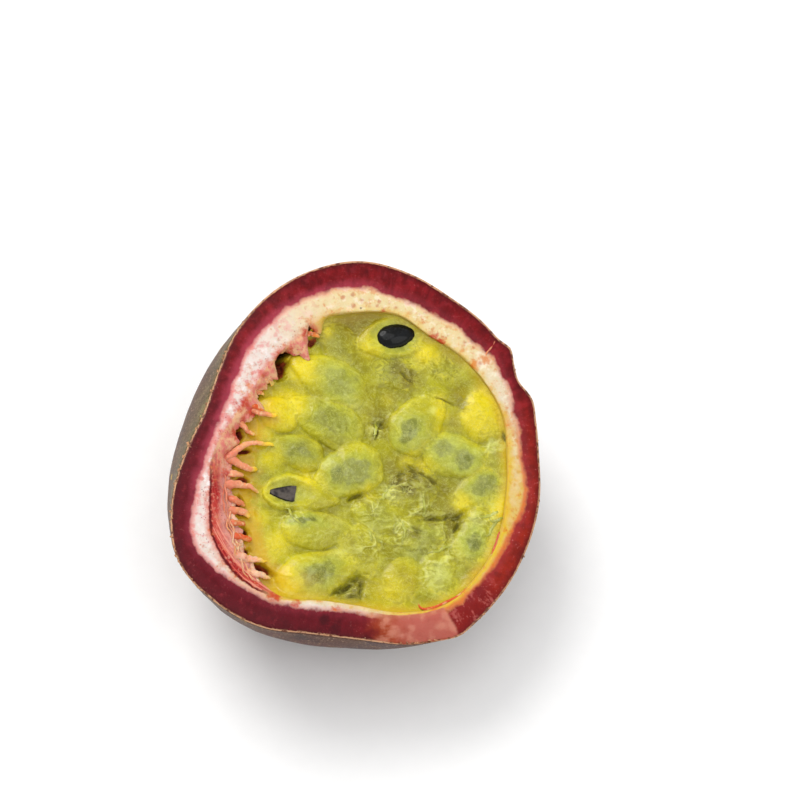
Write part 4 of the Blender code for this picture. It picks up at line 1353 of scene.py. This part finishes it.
def seed_points(drop):
    """One pitted hull in the cut's frame."""
    size = SEED_MM if drop.number in (OPENED, HALVED) else SEED_DEEP_MM
    local = hull_shape * size
    pits = wander(local + 40 * drop.number, 0.75, 31, 2)
    local = local * (1 - 0.03 * np.clip(np.abs(pits), 0, 1))[:, None]
    points = local @ drop.turn.T + drop.seed
    if drop.number == OPENED:
        points[:, 2] += OPENED_RISE_MM
    elif drop.number == HALVED:
        local[:, 1] *= 0.60 * (1 - 0.45 * local[:, 0] / size[0])
        blunt = np.clip(local[:, 0], -0.55 * size[0], 0.80 * size[0])
        local[:, 0] = blunt * 0.92 + 0.12 * local[:, 1]
        points = local @ drop.turn.T + drop.seed
        points[:, 2] = np.minimum(points[:, 2] + HALVED_RISE_MM, HALF_LEVEL_MM)
    else:
        points[:, 2] -= SUNK_MM
    return points


sets = [seed_points(drop) for drop in drops]
cut_flat = np.zeros((len(drops), len(hull_shape)))
cut_flat[HALVED] = sets[HALVED][:, 2] > HALF_LEVEL_MM - 0.04
faces = pots_faces(len(drops), SEED_ROWS, SEED_AROUND)
seeds = mesh_object("seed_hulls", in_world(np.concatenate(sets)), faces, {"cut_flat": cut_flat.ravel()})
hull = Surface("seed_hull")
pits = hull.cells(0.55).rise(0.0, 0.5)
tone = hull.noise(1.5, 2.0)
outside = hull.mix(tone.rise(0.4, 0.7), (3, 4, 4), (13, 15, 18))
inside = hull.mix(tone.rise(0.4, 0.6), (48, 42, 42), (92, 84, 78))
hull.finish(
    base_color=hull.mix(hull.reading("cut_flat") * 0.85, outside, inside),
    roughness=0.4 + tone * 0.1,
    specular=0.10,
    coat_weight=0.30,
    coat_roughness=0.04,
    normal=hull.bump(pits, 0.12, 0.9),
)
seeds.data.materials.append(hull.material)
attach(seeds, "root")
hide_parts(*[f"seed_{drop.name}" for drop in drops])
print("seeds:", len(seeds.data.polygons), "faces")

# %% [markdown]
# ## Things that follow a path
# Pegs, torn skins and fibres are all cords: soft strings that start thick, wander and end thin.
# One Geometry Nodes tree makes them. It takes lines whose points carry a thickness, rounds the
# lines, lets them wobble, wraps a tube round each and roughens it. The result becomes a plain
# mesh before anything else uses it.

# %% Growing shapes with Geometry Nodes
class Growth(Graph):
    """A Geometry Nodes tree under construction, with named number inputs."""

    def __init__(self, name, **numbers):
        super().__init__(bpy.data.node_groups.new(name, "GeometryNodeTree"))
        face = self.tree.interface
        for way in ("INPUT", "OUTPUT"):
            face.new_socket("Geometry", in_out=way, socket_type="NodeSocketGeometry")
        self.values = {}
        for key, value in numbers.items():
            kind = "NodeSocketInt" if isinstance(value, int) else "NodeSocketFloat"
            socket = face.new_socket(key, in_out="INPUT", socket_type=kind)
            self.values[socket.identifier] = value
        self.entry = self.tree.nodes.new("NodeGroupInput")
        self.exit = self.tree.nodes.new("NodeGroupOutput")

    def given(self, name):
        """One of the tree's own inputs."""
        return Wire(self, self.entry.outputs[name])

    def on(self, kind, geometry, settings=None, **inputs):
        """A Geometry node that changes a geometry."""
        return self.node("GeometryNode" + kind, settings, {0: geometry, **inputs})

    def stored(self, name):
        """A number kept on the points under a name."""
        settings = {"data_type": "FLOAT"}
        return self.node("GeometryNodeInputNamedAttribute", settings, {"Name": name})

    def chance(self, low, high, seed=0):
        """A number for each instance, drawn between two bounds."""
        inputs = {2: low, 3: high, "Seed": seed}
        return self.node("FunctionNodeRandomValue", {"data_type": "FLOAT"}, inputs, 1)

    def sampled(self, curve, **spacing):
        """Even points on a curve: a Count of them, or one at every Length."""
        mode = {"mode": next(iter(spacing)).upper()}
        return self.on("ResampleCurve", curve, mode, **spacing)

    def rotated(self, rotation, by):
        """A rotation with another one before it."""
        inputs = {"Rotation": rotation, "Rotate By": by}
        return self.node("FunctionNodeRotateRotation", {"rotation_space": "LOCAL"}, inputs)

    def cloud(self, where, scale, detail):
        """A vector of three noises, each from 0 to 1."""
        inputs = {"Vector": where, "Scale": scale, "Detail": detail}
        return self.node("ShaderNodeTexNoise", None, inputs, "Color")

    def jitter(self, size, amount, shift=0.0):
        """A vector that wanders from place to place by up to about amount."""
        where = self.vector("ADD", self.node("GeometryNodeInputPosition"), (shift,) * 3)
        centred = self.vector("SUBTRACT", self.cloud(where, 1.0 / size, 2.0), (0.5, 0.5, 0.5))
        return self.vector("SCALE", centred, amount * 3.0)

    def tubes(self, curve, radius, sides, flat):
        """Wraps a closed tube round each curve."""
        inputs = {"Resolution": sides, "Radius": 1.0}
        circle = self.node("GeometryNodeCurvePrimitiveCircle", None, inputs, "Curve")
        circle = self.on("Transform", circle, Scale=(1.0, flat, 1.0))
        settings = {"Profile Curve": circle, "Scale": radius, "Fill Caps": True}
        return self.on("CurveToMesh", curve, **settings)

    def grow(self, source, geometry, material, name):
        """Finishes the tree, runs it on a source object and returns a plain mesh object."""
        smooth = self.on("SetShadeSmooth", self.on("RealizeInstances", geometry))
        done = self.on("SetMaterial", smooth, Material=material)
        self.tree.links.new(done.socket, self.exit.inputs[0])
        modifier = source.modifiers.new(name, "NODES")
        modifier.node_group = self.tree
        for identifier, value in self.values.items():
            modifier[identifier] = value
        ready = bpy.context.evaluated_depsgraph_get()
        mesh = bpy.data.meshes.new_from_object(source.evaluated_get(ready), depsgraph=ready)
        source.modifiers.remove(modifier)
        bpy.data.objects.remove(source)
        mesh.materials.clear()
        mesh.materials.append(material)
        print(name + ":", len(mesh.polygons), "faces")
        return put(name, mesh)


print("every tree ends in Realize Instances, Set Shade Smooth and Set Material")

# %% Cords
def cords(name, lines, material, wobble, sides, rough, step=0.25, flat=1.0):
    """Cords along lines of (x, y, z, thickness, tint, tip) points in the cut's frame."""
    tree = Growth(
        name + "_tree", Step=step * MM, Wobble=wobble * MM, Sides=sides, Roughness=rough * MM
    )
    points, edges = [], []
    for line in lines:
        edges += [(len(points) + k, len(points) + k + 1) for k in range(len(line) - 1)]
        points += line
    x, y, z, thick, tint, tip = np.array(points, dtype=float).T
    readings = {"thick": thick, "tint": tint, "tip": tip}
    places = in_world(np.column_stack([x, y, z]))
    source = mesh_object(name + "_source", places, [], readings, edges)
    curve = tree.on("MeshToCurve", tree.given("Geometry"))
    curve = tree.on("CurveSplineType", curve, {"spline_type": "CATMULL_ROM"})
    curve = tree.sampled(curve, Length=tree.given("Step"))
    along = tree.node("GeometryNodeSplineParameter", output="Factor")
    settings = {"data_type": "FLOAT", "domain": "POINT"}
    curve = tree.on("StoreNamedAttribute", curve, settings, Name="along", Value=along)
    curve = tree.on("SetPosition", curve, Offset=tree.jitter(1.3 * MM, tree.given("Wobble")))
    end = 1 - (along * 2 - 1) ** 8
    radius = tree.stored("thick") * MM * end.most(0.02) ** 0.5
    tube = tree.tubes(curve, radius, tree.given("Sides"), flat)
    rough = tree.jitter(0.7 * MM, tree.given("Roughness"), 0.3)
    return tree.grow(source, tree.on("SetPosition", tube, Offset=rough), material, name)


# %% [markdown]
# ## Pegs and the lining
# The inner lining is soft and pink. It folds into a wavy ledge, and from it stand the pegs on
# which the sacs once grew: salmon at the root, some with a yellow tip where the sac's stalk was.

# %% Pegs and lining
# Root x and y, tip x and y, root and tip thickness, tint (0 pink, 1 red-orange), how yellow
# the tip is, and how far the peg bends to its side.
PEGS = (
    (-18.2, 0.2, -12, 1.6, 0.55, 0.3, 0.1, 1, 1),
    (-17.9, -0.6, -14.2, -1.7, 0.65, 0.4, 0.25, 1, -0.3),
    (-18.2, -4, -14, -5, 0.7, 0.28, 0.15, 0.4, 0.3),
    (-17.9, -7.6, -15.2, -8.4, 0.65, 0.45, 0.35, 0.8, 0.2),
    (-17.6, -11.4, -15, -11.9, 0.55, 0.38, 0.8, 0.1, 0.1),
    (-17.4, -14.2, -12.9, -14.9, 0.85, 0.28, -0.2, 0.9, -0.2),
    (-16.6, -16.6, -12.4, -17.4, 0.8, 0.36, -0.2, 0.4, 0.3),
    (-17.3, 8, -13.2, 6, 0.75, 0.45, 1, 0.2, 0.3),
    (-15.4, 6.9, -11.5, 5.8, 0.5, 0.32, 0.4, 1, -0.2),
    (-17.8, -6.2, -16, -6.9, 0.5, 0.34, 0.5, 0.2, 0),
    (-16.9, 5, -14.6, 3.2, 0.45, 0.26, 0.3, 0.4, -0.4),
    (-17.8, -9.4, -16, -9.7, 0.5, 0.34, 0.6, 0, 0),
    (-17.9, -2.4, -16.2, -2.6, 0.5, 0.34, 0.1, 0.3, 0),
    (-17.4, -12.6, -15.8, -12.9, 0.45, 0.3, 0.1, 0.2, 0),
)
# Torn flaps of the lining, in the same terms.
FLAPS = (
    (-12.4, 16.2, -7.6, 15, 0.9, 0.45, 0, 0.9, 0.3),
    (-9, 18.6, -5.4, 17.5, 0.75, 0.4, 0.6, 0.3, -0.2),
    (-14.9, 11.4, -11.9, 10.6, 0.8, 0.4, 0.2, 0.5, 0.2),
    (-15.9, 9.2, -13.4, 9.4, 0.7, 0.4, 0.55, 0.4, 0.2),
)
# How far a peg's root reaches back into the lining, and how far down.
ROOT_MM, ROOT_DROP_MM = 1.1, 0.7
# A tip lies this far above the pulp, but never below the lowest level.
TIP_RISE_MM, LOWEST_TIP_MM = 0.25, -2.2


def peg_line(x0, y0, x1, y1, thick, thin, tint, tip, bend, start_z=-1.0):
    """A bent line from the wall to the pulp, with a thickness that shrinks towards its tip."""
    pulp_z, _ = film(*np.array(stretched(x1, y1))[:, None])
    end_z = max(float(pulp_z[0]) + TIP_RISE_MM, LOWEST_TIP_MM)
    size = max(np.hypot(x1 - x0, y1 - y0), 0.1)
    line = []
    for t in (-ROOT_MM / size, *np.linspace(0, 1, 7)):
        side = bend * sin(pi * t) / size
        x = x0 + (x1 - x0) * t - (y1 - y0) * side
        y = y0 + (y1 - y0) * t + (x1 - x0) * side
        z = start_z + (end_z - start_z) * t + 0.25 * sin(pi * t)
        z -= ROOT_DROP_MM if t < 0 else 0.0
        wide = thin + (thick - thin) * (1 - t) ** 1.6
        line.append((*stretched(x, y), z, wide, tint, tip * smooth_step(t, 0.6, 0.95)))
    return line


def ring_line(first, last, inset, z, thick, tint, wave, count):
    """A line round the inner wall between two angles; inset is measured from its edge."""
    line = []
    for t in np.linspace(0, 1, count):
        angle = np.array([radians(first + (last - first) * t)])
        radius = ring(WALL_MM, angle) - inset
        radius = radius + wave * sin(t * 47) * 0.5 + wave * sin(t * 29 + 1) * 0.5
        fade = min(1.0, 6 * t + 0.15, 6 * (1 - t) + 0.15)
        line.append((*polar(radius, angle, z + 0.15 * sin(t * 31))[0], thick * fade, tint, 0.0))
    return line


print("pegs:", len(PEGS), "flaps:", len(FLAPS))

# %% Lining material
skin_of_wall = Surface("placenta")
along, tint, tip = skin_of_wall.readings("along tint tip")
cloud = skin_of_wall.noise(1.3, 3.0)
redness = (tint + (cloud - 0.5) * 0.8).rise(0.0, 0.9)
colour = skin_of_wall.paint(redness, (224, 156, 116), (206, 84, 34))
colour.lay((cloud - tint).rise(0.5, 0.8) * 0.7, (226, 188, 164))
colour.lay((skin_of_wall.noise(0.9, 2.0) + tip * 0.2).rise(0.52, 0.7) * 0.5, (224, 168, 90))
dots = skin_of_wall.cells(0.9).fall(0.1, 0.3)
colour.lay(dots * 0.35, (160, 50, 56))
root = (along + (cloud - 0.5) * 0.3).fall(0.15, 0.5)
colour.lay(root * 0.55, (198, 84, 72))
pale_streak = skin_of_wall.noise(0.5, 2.0).rise(0.52, 0.66) * (1 - root)
colour.lay(pale_streak * 0.5, (236, 204, 160))
colour.lay(tip, (236, 200, 30))
skin_of_wall.finish(
    base_color=colour,
    roughness=0.38 + cloud * 0.2,
    specular=0.25,
    subsurface_weight=0.4,
    subsurface_radius=(1.0, 0.4, 0.25),
    subsurface_scale=0.8 * MM,
    coat_weight=0.15,
    coat_roughness=0.15,
    normal=skin_of_wall.bump(skin_of_wall.noise(0.3, 3.0), 0.06, 0.6),
)

# %% Grow the pegs and flaps
lines = [peg_line(*row) for row in PEGS]
lines.append(ring_line(176, 240, -0.35, -1.45, 0.50, -0.25, wave=0.45, count=60))
pegs = cords(
    "placental_pegs", lines, skin_of_wall.material,
    wobble=0.25, sides=14, rough=0.15, step=0.16, flat=0.8,
)
lines = [peg_line(*row, start_z=-0.75) for row in FLAPS]
flaps = cords(
    "lining_flaps", lines, skin_of_wall.material,
    wobble=0.25, sides=16, rough=0.42, step=0.16, flat=0.5,
)
for piece in (pegs, flaps):
    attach(piece, "root")

# %% [markdown]
# ## Fibres
# Thin bundles that carried sap run through the wall. The knife pulled a few of them loose: one
# crosses the crimson layer, one curls along the cavity's edge, and pale ones lie in the lining.

# %% Fibres in the wall
FIBRES = (
    ((20, 16.9), (19.5, 15.9), (18.7, 14.9), (18.2, 13.9), (17.2, 13.5), (16.6, 13.1)),
    ((19.7, -14.6), (18.7, -16.5), (17.1, -18.3), (15.1, -19.9),
     (12.8, -21.2), (10.6, -22), (9.2, -22.1), (8.7, -21.4)),
    ((20.6, -11), (19.9, -13.4), (18.9, -15.6), (17.3, -17.7)),
)
# First and last angle in degrees, inset from the cavity's edge, level, thickness and tint.
EDGE_FIBRES = (
    (184, 236, -0.9, -0.72, 0.16, 0), (190, 232, -1.5, -0.52, 0.12, 0.3),
    (196, 238, -1.2, -0.6, 0.12, -0.2),
)
lines = []
for number, path in enumerate(FIBRES):
    level, thick, tint = (0.0, 0.15, 0.45) if number == 0 else (-0.35, 0.22, 1.0)
    lines.append([(*stretched(x, y), level, thick, tint, 0.0) for x, y in path])
lines += [ring_line(*row, wave=0.25, count=50) for row in EDGE_FIBRES]
fibres = cords("wall_fibres", lines, skin_of_wall.material, wobble=0.10, sides=7, rough=0.03)
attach(fibres, "root")

# %% [markdown]
# ## Torn skins on the pulp
# Where sacs burst, their thin skins lie in pale folds on the juice. Short threads are strewn
# over the crumpled patches of the pulp, bent at random, laid down on its surface and given a
# hair-thin tube.

# %% Torn skin material
membrane = Surface("torn_skin")
cloud = membrane.noise(1.5, 2.0)
membrane.finish(
    base_color=membrane.mix(cloud.rise(0.35, 0.65), (156, 155, 34), (182, 184, 68)),
    roughness=0.26 + cloud * 0.1,
    subsurface_weight=0.5,
    subsurface_radius=(1.0, 0.9, 0.4),
    subsurface_scale=0.8 * MM,
    coat_weight=0.3,
    coat_roughness=0.12,
)

# %% Threads on the pulp
tree = Growth(
    "thread_tree", Density=0.9e5, Seed=4, Length=4.2 * MM, Thickness=0.24 * MM, Bend=1.0 * MM
)
# Points are strewn where thin skins lie crumpled, each with its own turn and size.
zone = tree.stored("crumple_zone").rise(0.35, 0.95)
settings = {"Density": zone * tree.given("Density"), "Seed": tree.given("Seed")}
spots = tree.on("DistributePointsOnFaces", tree.given("Geometry"), **settings)
facing = Wire(tree, spots.socket.node.outputs["Normal"])
spin = tree.chance(0.0, 2 * pi)
size = tree.chance(0.35, 1.0, 7)
turned = tree.node("FunctionNodeAlignRotationToVector", {"axis": "Z"}, {"Vector": facing})
upright = {"Axis": (0.0, 0.0, 1.0), "Angle": spin}
turned = tree.rotated(turned, tree.node("FunctionNodeAxisAngleToRotation", None, upright))
# A straight line goes to each point, is bent at random and laid down on the surface.
ends = {"Start": (-0.5, 0, 0), "End": (0.5, 0, 0)}
line = tree.sampled(tree.node("GeometryNodeCurvePrimitiveLine", None, ends), Count=18)
size = tree.given("Length") * size
threads = tree.on("InstanceOnPoints", spots, Instance=line, Rotation=turned, Scale=size)
threads = tree.on("RealizeInstances", threads)
threads = tree.on("SetPosition", threads, Offset=tree.jitter(2.2 * MM, tree.given("Bend")))
settings = {"target_element": "FACES"}
nearest = tree.node("GeometryNodeProximity", settings, {0: tree.given("Geometry")}, "Position")
threads = tree.on("SetPosition", threads, Position=nearest)
# The tube is thickest half way, fine at both ends, and lies flat.
share = tree.node("GeometryNodeSplineParameter", output="Factor")
swell = (share * (1 - share) * 4).most(0.04) ** 0.6
threads = tree.on("SetCurveNormal", threads, {"mode": "Z_UP"})
threads = tree.tubes(threads, swell * tree.given("Thickness"), 8, 0.3)
source = put("pulp_copy", pulp.data)
torn = tree.grow(source, threads, membrane.material, "torn_skins")
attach(torn, "root")

# %% [markdown]
# ## Flakes along the skin's edge
# The knife never cuts the papery skin as cleanly as the flesh. Little tan flakes and shreds
# stand along the edge, in some stretches more than in others. They are thin scraps, strewn on a
# line that follows the edge, each turned and sized at random.

# %% Flake material
flake = Surface("skin_flake")
tone = flake.noise(1.2, 2.0)
flake.finish(
    base_color=flake.mix(tone.rise(0.35, 0.65), (128, 84, 60), (196, 142, 98)),
    roughness=0.55 + tone * 0.1,
)

# %% The edge that the flakes follow
pull_mm = 0.11 + 0.30 * near(angles, 90, 28) + 0.30 * near(angles, 268, 28)
level_mm = -0.16 - 0.2 * near(angles, 100, 40)
edge_points = in_world(polar(ring(SKIN_MM, angles, SKIN_NICKS) - pull_mm, angles, level_mm))
ragged = 0.35 + 0.8 * near(angles, 168, 30) + 0.4 * near(angles, 262, 14)
ragged = ragged + 0.3 * near(angles, 225, 30)
edges = [(k, (k + 1) % AROUND) for k in range(AROUND)]
source = mesh_object("skin_edge", edge_points, [], {"ragged": ragged}, edges)
print("points on the skin's edge:", len(edge_points))

# %% Grow the flakes
tree = Growth("flake_tree", Count=420, Length=0.65 * MM, Jitter=0.06 * MM, Seed=3)
curve = tree.on("MeshToCurve", tree.given("Geometry"))
curve = tree.sampled(curve, Count=tree.given("Count"))
spots = tree.on("SetPosition", curve, Offset=tree.jitter(0.4 * MM, tree.given("Jitter")))
# The scrap is a thin box with a bend in it.
sizes = {"Size": (1.0, 0.55, 0.16), "Vertices X": 4, "Vertices Y": 3}
scrap = tree.node("GeometryNodeMeshCube", None, sizes)
bend = tree.vector("SCALE", tree.cloud(tree.node("GeometryNodeInputPosition"), 1.7, 1.0), 0.5)
scrap = tree.on("SetPosition", scrap, Offset=bend)
# Each scrap has its own size and lies nearly flat; more are kept where the edge is ragged.
pick = tree.chance(0.0, 1.0, tree.given("Seed"))
size = tree.chance(0.25, 1.0, 11)
turns = {0: (-0.3, -0.3, 0.0), 1: (0.3, 0.3, 6.28), "Seed": 5}
spin = tree.node("FunctionNodeRandomValue", {"data_type": "FLOAT_VECTOR"}, turns)
spin = tree.node("FunctionNodeEulerToRotation", None, {"Euler": spin})
spin = tree.rotated(tuple(LEAN.to_euler()), spin)
size = size * tree.given("Length") * (tree.stored("ragged") * 0.5 + 0.4)
settings = {"data_type": "FLOAT", "operation": "LESS_THAN"}
kept = tree.node("FunctionNodeCompare", settings, {0: pick, 1: tree.stored("ragged")})
settings = {"Selection": kept, "Instance": scrap, "Rotation": spin, "Scale": size}
flakes = tree.on("InstanceOnPoints", spots, **settings)
flakes = tree.grow(source, flakes, flake.material, "skin_flakes")
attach(flakes, "root")
